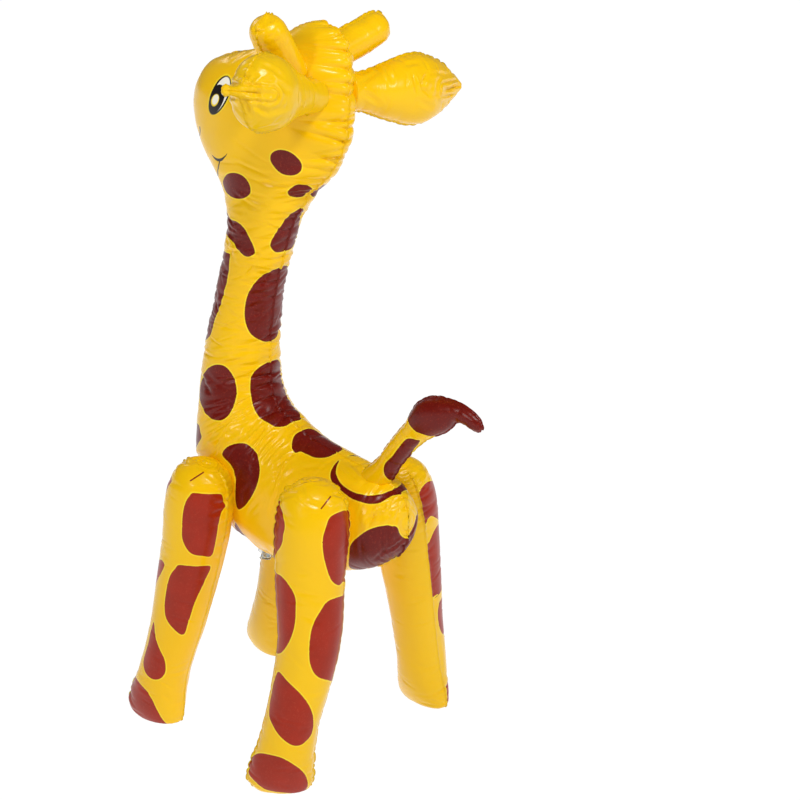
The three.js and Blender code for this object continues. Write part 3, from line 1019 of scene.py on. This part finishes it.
# Dents and folds that the photograph shows on the ears: both ends in pixels, depth and width
EAR_CREASES = {
    "left": [
        (256, 84, 257, 106, 2.2, 1.5), (256, 84, 272, 79, 1.6, 1.4), (257, 106, 270, 115, 1.6, 1.4),
        (242, 90, 256, 76, 1.5, 1.2), (243, 93, 258, 96, 1.4, 1.2), (242, 96, 252, 116, 1.5, 1.2),
        (268, 82, 290, 92, 1.4, 1.6), (270, 112, 290, 106, 1.2, 1.6), (262, 64, 282, 76, 1.2, 1.5),
        (258, 128, 280, 124, 1.2, 1.5),
    ],
    "right": [
        (460, 86, 421, 84, 4.2, 1.0), (421, 84, 428, 74, 1.8, 1.2), (421, 86, 430, 95, 1.8, 1.2),
        (428, 74, 444, 73, 1.5, 1.2), (430, 95, 446, 93, 1.5, 1.2), (412, 74, 417, 92, 1.3, 1.4),
        (405, 66, 418, 62, 1.2, 1.5), (418, 100, 432, 108, 1.2, 1.5), (362, 84, 376, 72, 1.3, 1.5),
        (364, 92, 380, 104, 1.2, 1.5), (385, 66, 392, 82, 1.0, 1.6),
    ],
}


def ear_fold(skin, rows):
    """The slit at the tip and the dents round its inner end."""
    share = rows[:, 0:1]
    height = np.cos(np.radians(skin.degrees))[None, :] * rows[:, 1:2] * UNIT / MM
    inward = np.maximum(FOLD_FROM - share, 0) * EAR_LENGTH * UNIT / MM
    gap = np.hypot(inward, height)
    deep = smoothstep(share, FOLD_FROM - 0.04, FOLD_FROM + 0.14)
    push = -FOLD_SINK * deep * np.exp(-np.abs(height) / 0.9)
    fade = smoothstep(share, 0.45, 0.6) * (1 - smoothstep(share, 0.86, 0.97))
    for distance, rise, half in FOLD_RINGS:
        push += rise * fade * np.exp(-(((gap - distance) / half) ** 2))
    return push


def head_skin(profile, line, count, half, length):
    """Profile rows and skin of an ear or a horn, which leans with the head."""
    rows = spread_profile(profile, count, length)
    angles = ring_angles(half)
    rings = leaned(tube(middle_line(line, rows[:, 0]), rows, np.tile(UPWARD, (count, 1)), angles))
    return rows, Skin(placed(rings), angles, rows[:, 0])


def build_ear(number, side):
    rows, skin = head_skin(EAR_PROFILES[side], EARS[side], EAR_ROWS, EAR_HALF, EAR_LENGTH)
    push = tube_wrinkles(EAR_SEED + number, skin, rows[:, 0], EAR_GATHERS, EAR_FOLDS, EAR_SWELL)
    push += ear_fold(skin, rows)
    add_creases(skin, push, EAR_CREASES[side])
    slender = np.minimum(1, rows[:, 2:3] * UNIT / MM / EAR_FULL_THICKNESS)
    heights = LIP_HEIGHT * slender[:, 0]
    return grid_object("ear_" + side + "_skin", welded(skin, push * slender, heights, heights))


HORN_ROWS = 130
HORN_HALF = 30
HORN_LENGTH = 93.0
HORN_FOLDS = (14, 0.45, 7.0)
HORN_SWELL = 0.18
HORN_SEED = 70
HORN_GATHERS = [(0, 2.2, 5.5, 12.0), (0.5, 1.4, 5.5, 12.0), (1, 2.2, 5.5, 12.0)]


def build_horn(number, side):
    rows, skin = head_skin(HORN_PROFILE, HORNS[side], HORN_ROWS, HORN_HALF, HORN_LENGTH)
    push = tube_wrinkles(HORN_SEED + number, skin, rows[:, 0], HORN_GATHERS, HORN_FOLDS, HORN_SWELL)
    heights = np.full(HORN_ROWS, LIP_HEIGHT)
    return grid_object("horn_" + side + "_skin", welded(skin, push, heights, heights))


# Tail, with a brown tuft and a long spot on its stem
TAIL_ROWS = 220
TAIL_HALF = 28
TAIL_SAMPLES = 900
TAIL_LIP = 0.8
TAIL_FOLDS = (24, 0.4, 8.0)
TAIL_SWELL = 0.15
TAIL_SEED = 80
TAIL_GATHERS = [(0, 1.3, 5.5, 9.0), (0.4, 0.8, 5.5, 9.0), (0.6, 0.9, 5.5, 9.0), (1, 0.5, 5.5, 9.0)]
TUFT_EDGE = [(408, 420), (411, 427.5), (419, 434), (429, 435.5)]
STEM_SPOT = [(407.5, 439), (416, 440), (419, 443), (409, 466), (404, 479), (396, 482), (388, 479),
             (383.5, 472.5), (384.5, 464), (392, 456.5), (399, 447)]


def build_tail():
    where = even_rows(TAIL, TAIL_ROWS, 1.0, TAIL_SAMPLES)
    rows = curve_at(TAIL, where)
    angles = ring_angles(TAIL_HALF)
    rings = tube(rows[:, :3], rows[:, 2:5], np.tile(UPWARD, (TAIL_ROWS, 1)), angles)
    skin = Skin(placed(rings), angles, where)
    share = np.linspace(0, 1, TAIL_ROWS)
    push = tube_wrinkles(TAIL_SEED, skin, share, TAIL_GATHERS, TAIL_FOLDS, TAIL_SWELL)
    heights = np.full(TAIL_ROWS, LIP_HEIGHT * TAIL_LIP)
    piece = grid_object("tail_skin", welded(skin, push, heights, heights))
    panel = print_distance(skin, [STEM_SPOT])
    edge = [skin.locate(*point)[0] for point in TUFT_EDGE]
    edge_row = np.interp(np.cos(angles), [-1, -0.3, 0.4, 1], edge[::-1])
    tuft = (edge_row[None, :] - np.arange(TAIL_ROWS)[:, None]) * skin.step / MM
    spots = np.clip(np.minimum(whole_ring(panel, panel), tuft), -FAR_FROM_PRINT, FAR_FROM_PRINT)
    set_attribute(piece, "spot", spots, -FAR_FROM_PRINT)
    return piece


others = {"tail": build_tail()}
for number, side in enumerate(("left", "right")):
    others["ear_" + side] = build_ear(number, side)
    others["horn_" + side] = build_horn(number, side)

# Valve: an embossed patch on the skin, a clear cup with its stem, and a plug with two tabs
PATCH_OUTER = 14.5
PATCH_ROWS = 36
PATCH_COLUMNS = 540
PATCH_THICK = 0.5
# Raised rings of the patch: radius, height and half width
RIMS = [(8.9, 0.55, 0.9), (12.9, 0.35, 0.6)]
STROKES_FROM, STROKES_TO = 10.2, 11.9
STROKE_HEIGHT = 0.28
STROKE_HALF = 0.2
STROKE_PITCH = 0.95
REACH_OVER_SKIN = 20
CRISP_DEGREES = 50
STROKE_SEED = 90
BELLY_COLUMNS = 24
BELLY_REACH = 30


def ring_of_sections(name, sections):
    """A closed ring-shaped mesh from cross sections placed round it."""
    count, size = sections.shape[:2]
    index = np.arange(count * size).reshape(count, size)
    onward = np.roll(index, -1, 0)
    quads = np.stack([index, np.roll(index, -1, 1), np.roll(onward, -1, 1), onward], -1).reshape(-1, 4)
    made = smooth_object(name, sections.reshape(-1, 3).tolist(), quads.tolist())
    made.data.set_sharp_from_angle(angle=math.radians(CRISP_DEGREES))
    return made


def stroke_list(rng):
    """Angle, tilt and share of the height of each embossed stroke, in short groups."""
    middle = (STROKES_FROM + STROKES_TO) / 2
    angle = 0.0
    made = []
    while angle < 2 * math.pi - 0.4:
        for _ in range(int(rng.integers(3, 7))):
            made.append((angle, rng.uniform(-0.35, 0.35), rng.uniform(0.55, 1.0)))
            angle += STROKE_PITCH / middle
        angle += 1.5 / middle
    return [stroke for stroke in made if stroke[0] < 2 * math.pi - 0.1]


def stroke_relief(radius, angle):
    middle = (STROKES_FROM + STROKES_TO) / 2
    half = (STROKES_TO - STROKES_FROM) / 2
    height = np.zeros(np.broadcast(radius, angle).shape)
    for place, tilt, tall in stroke_list(np.random.default_rng(STROKE_SEED)):
        beside = (angle - place) * middle - tilt * (radius - middle)
        bar = 1 - smoothstep(np.abs(beside), STROKE_HALF - 0.1, STROKE_HALF + 0.1)
        length = 1 - smoothstep(np.abs(radius - middle), half * tall - 0.15, half * tall + 0.15)
        height = np.maximum(height, bar * length)
    return height * STROKE_HEIGHT


def belly_tree():
    """The belly's skin about the valve, for finding its height."""
    radius, height = valve_axes(body_skin.points[:, :20])
    rows = np.where(((radius < BELLY_REACH) & (np.abs(height) < VALVE_NEAR)).any(1))[0]
    local = body_skin.points[rows[0]:rows[-1] + 1][:, np.arange(-BELLY_COLUMNS, BELLY_COLUMNS + 1)]
    index = np.arange(local.shape[0] * local.shape[1]).reshape(local.shape[:2])
    quads = np.stack([index[:-1, :-1], index[:-1, 1:], index[1:, 1:], index[1:, :-1]], -1)
    return BVHTree.FromPolygons(local.reshape(-1, 3).tolist(), quads.reshape(-1, 4).tolist())


def build_patch():
    """The embossed ring round the valve's hole, laid on the belly."""
    tree = belly_tree()
    radii = np.linspace(POCKET_RADIUS - 0.2, PATCH_OUTER, PATCH_ROWS)
    angles = np.linspace(0, 2 * np.pi, PATCH_COLUMNS, endpoint=False)
    spokes = np.cos(angles)[:, None] * VALVE_RIGHT + np.sin(angles)[:, None] * VALVE_UP
    flat = VALVE_PLACE + MM * radii[:, None, None] * spokes[None]
    base = np.zeros(flat.shape[:2])
    for i, j in np.ndindex(base.shape):
        start = Vector(flat[i, j] + VALVE_OUT * REACH_OVER_SKIN * MM)
        base[i, j] = REACH_OVER_SKIN - tree.ray_cast(start, Vector(-VALVE_OUT))[3] / MM
    relief = stroke_relief(radii[:, None], angles[None, :])
    for middle, height, half in RIMS:
        relief += height * np.exp(-(((radii[:, None] - middle) / half) ** 4))
    edge = 1 - smoothstep(radii, PATCH_OUTER - 0.8, PATCH_OUTER)
    upper = flat + VALVE_OUT * MM * (base + PATCH_THICK * edge[:, None] + relief)[..., None]
    lower = flat + VALVE_OUT * MM * (base - PATCH_THICK)[..., None]
    return ring_of_sections("valve_patch", np.concatenate([upper, lower[::-1]], 0).transpose(1, 0, 2))


def valve_point(x, y, height):
    return VALVE_PLACE + MM * (x * VALVE_RIGHT + y * VALVE_UP + height * VALVE_OUT)


def lathe(name, profile, sides=72):
    """A turned piece about the valve's axis, from a closed profile of radius and height."""
    sections = []
    for k in range(sides):
        angle = 2 * math.pi * k / sides
        sections.append([valve_point(r * math.cos(angle), r * math.sin(angle), h) for r, h in profile])
    return ring_of_sections(name, np.array(sections))


CUP_RADIUS = 7.8
CUP_WALL = 0.7
CUP_FLOOR = 0.4 - POCKET_DEPTH
STEM_RADIUS = 4.4
STEM_TOP_RADIUS = 4.0
BORE_RADIUS = 3.1
STEM_LENGTH = 5.0
CAP_RADIUS = 4.4
CAP_FROM = STEM_LENGTH + 0.3
CAP_THICK = 1.6
TAB_THICK = 1.0
AXIS = 0.02

CUP_PROFILE = [
    (CUP_RADIUS, CUP_FLOOR),
    (CUP_RADIUS, 0.9),
    (CUP_RADIUS - CUP_WALL, 1.1),
    (CUP_RADIUS - CUP_WALL, CUP_FLOOR + 1.5),
    (STEM_RADIUS + 2.0, CUP_FLOOR + 1.4),
    (STEM_RADIUS + 1.7, CUP_FLOOR + 2.1),
    (STEM_RADIUS + 1.2, CUP_FLOOR + 1.6),
    (STEM_RADIUS + 0.8, CUP_FLOOR + 2.5),
    (STEM_RADIUS + 0.2, CUP_FLOOR + 2.7),
    (STEM_RADIUS, CUP_FLOOR + 3.4),
    (STEM_TOP_RADIUS, STEM_LENGTH - 0.3),
    (STEM_TOP_RADIUS - 0.3, STEM_LENGTH),
    (BORE_RADIUS, STEM_LENGTH),
    (BORE_RADIUS, CUP_FLOOR + 1.2),
    (AXIS, CUP_FLOOR + 1.2),
    (AXIS, CUP_FLOOR),
]
PLUG_PROFILE = [
    (AXIS, CUP_FLOOR + 4),
    (BORE_RADIUS - 0.5, CUP_FLOOR + 4),
    (BORE_RADIUS - 0.35, CUP_FLOOR + 5),
    (BORE_RADIUS - 0.3, CAP_FROM),
    (CAP_RADIUS - 0.2, CAP_FROM),
    (CAP_RADIUS, CAP_FROM + 0.3),
    (CAP_RADIUS, CAP_FROM + CAP_THICK - 0.4),
    (CAP_RADIUS - 0.5, CAP_FROM + CAP_THICK),
    (CAP_RADIUS - 1.4, CAP_FROM + CAP_THICK - 0.35),
    (AXIS, CAP_FROM + CAP_THICK - 0.3),
]


def flat_tab(name, centre, radii, hole, points=48):
    """A flat rounded tab beside the cap. Its hole, a share of its size, narrows toward the cap."""
    middle = CAP_FROM + CAP_THICK / 2
    toward_cap = -math.copysign(1, centre)
    rim = TAB_THICK / 2
    levels = [(0, -0.6), (0, 0.6), (0.07, 1), (0.93, 1), (1, 0.6), (1, -0.6), (0.93, -1), (0.07, -1)]
    sections = []
    for k in range(points):
        angle = 2 * math.pi * k / points
        x, y = radii[0] * math.cos(angle), radii[1] * math.sin(angle)
        pull = max(math.cos(angle) * toward_cap, 0)
        hole_x, hole_y = x * hole * (1 + 0.25 * pull), y * hole * (1 - 0.25 * pull)
        section = []
        for share, level in levels:
            across = x + (hole_x - x) * share
            section.append(valve_point(centre + across, y + (hole_y - y) * share, middle + rim * level))
        sections.append(section)
    return ring_of_sections(name, np.array(sections))


LOOP_CENTRE = -(CAP_RADIUS + 2.6)
LOOP_RADII = (3.2, 3.0)
SMALL_TAB_CENTRE = CAP_RADIUS + 0.9
SMALL_TAB_RADII = (1.5, 1.9)

valve = {
    "body_neck_and_head": [build_patch()],
    "valve_flange_and_stem": [lathe("valve_cup_and_stem", CUP_PROFILE)],
    "valve_plug": [
        lathe("valve_cap", PLUG_PROFILE),
        flat_tab("valve_loop_tab", LOOP_CENTRE, LOOP_RADII, 0.5),
        flat_tab("valve_small_tab", SMALL_TAB_CENTRE, SMALL_TAB_RADII, 0.35),
    ],
}

# Materials


def linear(colour):
    """An sRGB colour from 0 to 255 as linear light."""
    values = []
    for part in colour:
        part = part / 255
        values.append(part / 12.92 if part <= 0.04045 else ((part + 0.055) / 1.055) ** 2.4)
    return (*values, 1.0)


class Nodes:
    """Short names for building a node tree."""

    def __init__(self, name):
        self.material = bpy.data.materials.new(name)
        self.material.use_nodes = True
        self.tree = self.material.node_tree
        self.shader = self.tree.nodes["Principled BSDF"]

    def give(self, socket, source):
        """Links a socket, or sets a plain value."""
        if isinstance(source, bpy.types.NodeSocket):
            self.tree.links.new(source, socket)
        else:
            socket.default_value = source

    def set_shader(self, values):
        for socket, source in values.items():
            self.give(self.shader.inputs[socket], source)

    def add(self, kind, inputs, **settings):
        """A node with its inputs linked or set, by name or by number."""
        node = self.tree.nodes.new(kind)
        for key, value in settings.items():
            setattr(node, key, value)
        for socket, source in inputs.items():
            self.give(node.inputs[socket], source)
        return node

    def value(self, name):
        return self.add("ShaderNodeAttribute", {}, attribute_name=name).outputs["Fac"]

    def math(self, operation, *parts):
        return self.add("ShaderNodeMath", dict(enumerate(parts)), operation=operation).outputs[0]

    def times(self, first, second):
        return self.math("MULTIPLY", first, second)

    def minus(self, first, second):
        return self.math("SUBTRACT", first, second)

    def scaled(self, value, factor, start):
        return self.math("MULTIPLY_ADD", value, factor, start)

    def size(self, value):
        return self.math("ABSOLUTE", value)

    def below(self, value, edge, soft):
        """1 where value is under edge and 0 over it, with a soft step."""
        ends = {"From Min": edge - soft, "From Max": edge + soft, "To Min": 1.0, "To Max": 0.0}
        node = self.add("ShaderNodeMapRange", {"Value": value, **ends}, interpolation_type="SMOOTHSTEP")
        return node.outputs["Result"]

    def mix(self, share, first, second):
        return self.add("ShaderNodeMix", {0: share, 6: first, 7: second}, data_type="RGBA").outputs[2]

    def noise(self, scale, detail=3.0, rough=0.5):
        place = self.add("ShaderNodeTexCoord", {}).outputs["Object"]
        inputs = {"Vector": place, "Scale": scale, "Detail": detail, "Roughness": rough}
        return self.add("ShaderNodeTexNoise", inputs).outputs["Fac"]

    def bump(self, height, strength, distance):
        node = self.add("ShaderNodeBump", {"Strength": strength, "Distance": distance, "Height": height})
        self.give(self.shader.inputs["Normal"], node.outputs["Normal"])


YELLOW = (255, 204, 4)
YELLOW_DEEP = (248, 192, 0)
# Duller yellow of the near ear: painted shade, a darker copy of the yellow that stands in for the shade and
# see-through darkening on that ear
EAR_YELLOW_PAINTED_SHADE = (236, 194, 14)
HALO = (255, 220, 40)
BROWN_NECK = (120, 14, 2)
BROWN_LEG = (178, 40, 6)
BROWN_SHADE = 0.8
BROWN_SPECK = (196, 78, 50)
INK = (22, 14, 14)
EYE_WHITE = (252, 248, 232)
MARK_RED = (140, 26, 18)

# Face, in pixels of the photograph. Ovals: middle, half width, half height and tilt
EYE_OUTER = (219.6, 95.2, 8.6, 21.0, 22.5)
EYE_HALO = (220.0, 94.6, 9.8, 22.2, 22.5)
EYE_INNER = (220.0, 94.8, 6.9, 19.2, 22.5)
PUPIL = (215.6, 99.5, 7.6, 15.8, 21.0)
GLINT = (215.2, 99.6, 2.7, 5.3, 20.0)
GLINT_RIM = (214.9, 100.2, 3.6, 6.4, 20.0)
EYE_SOFT = 0.035
GLINT_SOFT = 0.08
# What the eye's dark outer oval holds, from below: oval, colour and softness of its edge
EYE_LAYERS = [
    (EYE_INNER, EYE_WHITE, EYE_SOFT),
    (PUPIL, INK, EYE_SOFT),
    (GLINT_RIM, HALO, GLINT_SOFT),
    (GLINT, EYE_WHITE, GLINT_SOFT),
]
# Mouth arcs: square, slope and start of y over x from the middle
MOUTH_X = 219.6
MOUTH_LOW = (-0.1147, -0.0559, 161.2)
MOUTH_HIGH = (-0.0747, -0.0679, 158.8)
MOUTH_HALF = 7.9
MOUTH_LINE = 0.35
MOUTH_SOFT = 0.25
LINE_END_SOFT = 0.4
STEM_TOP = (219.6, 160.0)
STEM_FOOT = (217.3, 177.5)
STEM_HALF = 0.55
NOSTRIL_X = 199.7
NOSTRIL_Y = 131.0
NOSTRIL_BEND = 0.02
NOSTRIL_MIDDLE_Y = 133.8
NOSTRIL_HALF = 7.2
NOSTRIL_LINE = 0.45


def in_oval(n, x, y, shape, soft):
    """1 inside the oval and 0 outside it."""
    middle_x, middle_y, wide, high, tilt = shape
    turn = math.radians(tilt)
    dx = n.minus(x, middle_x)
    dy = n.minus(y, middle_y)
    across = n.scaled(dx, math.cos(turn) / wide, n.times(dy, math.sin(turn) / wide))
    along = n.scaled(dx, -math.sin(turn) / high, n.times(dy, math.cos(turn) / high))
    return n.below(n.math("SQRT", n.scaled(across, across, n.times(along, along))), 1.0, soft)


def arc_height(n, dx, rule):
    square, slope, start = rule
    return n.scaled(n.scaled(dx, square, slope), dx, start)


def draw_eye(n, colour, x, y, shown):
    eye = n.times(in_oval(n, x, y, EYE_OUTER, EYE_SOFT), shown)
    halo = n.times(in_oval(n, x, y, EYE_HALO, EYE_SOFT), shown)
    inside = linear(INK)
    for shape, tint, soft in EYE_LAYERS:
        inside = n.mix(in_oval(n, x, y, shape, soft), inside, linear(tint))
    return n.mix(eye, n.mix(halo, colour, linear(HALO)), inside)


def draw_smile(n, x, y):
    dx = n.minus(x, MOUTH_X)
    over = n.below(n.minus(y, arc_height(n, dx, MOUTH_LOW)), MOUTH_LINE, MOUTH_SOFT)
    under = n.below(n.minus(arc_height(n, dx, MOUTH_HIGH), y), MOUTH_LINE, MOUTH_SOFT)
    return n.times(n.times(over, under), n.below(n.size(dx), MOUTH_HALF, LINE_END_SOFT))


def draw_stem(n, x, y):
    """The line from the mouth's middle down."""
    drop = (STEM_FOOT[0] - STEM_TOP[0], STEM_FOOT[1] - STEM_TOP[1])
    length = math.hypot(*drop)
    ux, uy = drop[0] / length, drop[1] / length
    sx = n.minus(x, (STEM_TOP[0] + STEM_FOOT[0]) / 2)
    sy = n.minus(y, (STEM_TOP[1] + STEM_FOOT[1]) / 2)
    beside = n.size(n.scaled(sx, uy, n.times(sy, -ux)))
    down = n.size(n.scaled(sx, ux, n.times(sy, uy)))
    return n.times(n.below(beside, STEM_HALF, 0.2), n.below(down, length / 2, LINE_END_SOFT))


def draw_nostril(n, x, y):
    dy = n.minus(y, NOSTRIL_Y)
    arc = n.scaled(n.times(dy, dy), -NOSTRIL_BEND, NOSTRIL_X)
    line = n.below(n.size(n.minus(x, arc)), NOSTRIL_LINE, 0.15)
    return n.times(line, n.below(n.size(n.minus(y, NOSTRIL_MIDDLE_Y)), NOSTRIL_HALF, LINE_END_SOFT))


def draw_face(n, colour):
    x, y = n.value("photo_x"), n.value("photo_y")
    shown = n.below(n.times(n.value("face_side"), -1.0), 0.0, 0.3)
    colour = draw_eye(n, colour, x, y, shown)
    mouth = n.math("MAXIMUM", draw_smile(n, x, y), draw_stem(n, x, y))
    lines = n.math("MAXIMUM", mouth, draw_nostril(n, x, y))
    return n.mix(n.times(lines, shown), colour, linear(INK))


def draw_marks(n, colour):
    across, along = n.size(n.value("mark_across")), n.size(n.value("mark_along"))
    return n.mix(n.times(n.below(across, 0.7, 0.2), n.below(along, 1.0, 0.04)), colour, linear(MARK_RED))


def draw_spots(n, colour, brown):
    """Brown print with a lighter border; gives the colour and where the print lies."""
    grain = n.scaled(n.noise(900, 2, 0.6), 0.2, -0.1)
    halo = n.below(n.value("spot"), 1.1, 0.3)
    printed = n.below(n.math("ADD", n.value("spot"), grain), 0.0, 0.12)
    deep = tuple(part * BROWN_SHADE for part in brown)
    tone = n.mix(n.noise(60, 3, 0.6), linear(deep), linear(brown))
    speck = n.times(n.below(n.noise(650, 4, 0.7), 0.4, 0.06), 0.22)
    ink = n.mix(speck, tone, linear(BROWN_SPECK))
    return n.mix(printed, n.mix(halo, colour, linear(HALO)), ink), printed


# Plain values of the shaders: printed film, clear film and floor
FILM = {
    "IOR": 1.45,
    "Specular IOR Level": 0.16,
    "Coat Weight": 0.25,
    "Coat Roughness": 0.28,
    "Coat IOR": 1.5,
    "Subsurface Weight": 0.06,
    "Subsurface Radius": (0.004, 0.002, 0.0005),
    "Subsurface Scale": 1.0,
}
CLEAR_FILM = {
    "Base Color": linear((236, 242, 244)),
    "Transmission Weight": 0.9,
    "IOR": 1.4,
    "Roughness": 0.1,
}
FLOOR = {
    "Base Color": linear((60, 60, 60)),
    "Roughness": 0.8,
    "Emission Color": (1.0, 1.0, 1.0, 1.0),
    "Emission Strength": 1.0,
}


def vinyl(name, colours=(YELLOW, YELLOW_DEEP), brown=None, extra=None):
    n = Nodes(name)
    colour = n.mix(n.noise(9, 2), linear(colours[0]), linear(colours[1]))
    roughness = n.scaled(n.noise(45, 2), 0.1, 0.16)
    if brown:
        colour, printed = draw_spots(n, colour, brown)
        roughness = n.scaled(printed, 0.12, roughness)
    if extra:
        colour = extra(n, colour)
    n.set_shader({"Base Color": colour, "Roughness": roughness, **FILM})
    n.bump(n.scaled(n.noise(700, 2, 0.5), 0.15, n.noise(150, 3, 0.55)), 0.25, 0.0006)
    return n.material


def clear_vinyl(name):
    n = Nodes(name)
    n.set_shader(CLEAR_FILM)
    n.bump(n.noise(350, 2), 0.12, 0.0004)
    return n.material


body_vinyl = vinyl("printed_vinyl_body", brown=BROWN_NECK, extra=draw_face)
leg_vinyl = vinyl("printed_vinyl_legs", brown=BROWN_LEG, extra=draw_marks)
tail_vinyl = vinyl("printed_vinyl_tail", brown=BROWN_NECK)
plain_vinyl = vinyl("plain_vinyl")
# The near (left) ear's finish: the yellow vinyl with painted shade in a duller yellow
ear_vinyl_painted_shade = vinyl("vinyl_left_ear_painted_shade", colours=(EAR_YELLOW_PAINTED_SHADE, YELLOW_DEEP))
clear = clear_vinyl("clear_vinyl")

# Studio: a white floor and soft boxes
FLOOR_HALF = 60.0
LIGHT_AIM = (0, 0, 0.32)
SKY_STRENGTH = 0.15
# Place, size and power of each light
SOFT_BOXES = {
    "key_light": ((0.55, 1.15, 2.2), (0.55, 0.35), 24),
    "side_light": ((2.3, 0.1, 1.5), (0.2, 0.6), 13),
    "rear_light": ((-0.6, 2.2, 1.3), (0.2, 0.5), 10),
    "front_light": ((-0.4, -2.2, 1.9), (0.6, 0.6), 4),
}


def add_floor():
    n = Nodes("studio_floor")
    n.set_shader(FLOOR)
    mesh = bpy.data.meshes.new("studio_floor")
    signs = [(-1, -1), (1, -1), (1, 1), (-1, 1)]
    mesh.from_pydata([(x * FLOOR_HALF, y * FLOOR_HALF, 0) for x, y in signs], [], [(0, 1, 2, 3)])
    mesh.materials.append(n.material)
    made = linked("studio_floor", mesh)


def soft_box(name, place, size, power):
    light = bpy.data.lights.new(name, "AREA")
    light.shape = "RECTANGLE"
    light.size, light.size_y = size
    light.energy = power
    made = linked(name, light)
    made.location = place
    made.rotation_euler = (Vector(LIGHT_AIM) - Vector(place)).to_track_quat("-Z", "Y").to_euler()


def add_sky():
    world = bpy.data.worlds.new("studio")
    world.use_nodes = True
    background = world.node_tree.nodes["Background"]
    background.inputs["Color"].default_value = (1, 1, 1, 1)
    background.inputs["Strength"].default_value = SKY_STRENGTH
    bpy.context.scene.world = world
    bpy.context.scene.view_settings.view_transform = "Standard"


add_floor()
for name, box in SOFT_BOXES.items():
    soft_box(name, *box)
add_sky()

# What each piece stands for, rides on and takes its finish from


def dress(piece, node, material):
    piece.data.materials.append(material)
    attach(piece, "root")
    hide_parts(node)


for piece in body_pieces:
    dress(piece, "body_neck_and_head", body_vinyl)
for name, piece in legs.items():
    dress(piece, name, leg_vinyl)
# The near ear takes the finish with painted shade in its duller yellow
FINISHES = {"tail": tail_vinyl, "ear_left": ear_vinyl_painted_shade}
for name, piece in others.items():
    dress(piece, name, FINISHES.get(name, plain_vinyl))
for node, pieces in valve.items():
    for piece in pieces:
        if node == "body_neck_and_head":
            dress(piece, node, plain_vinyl)
        else:
            dress(piece, node, clear)
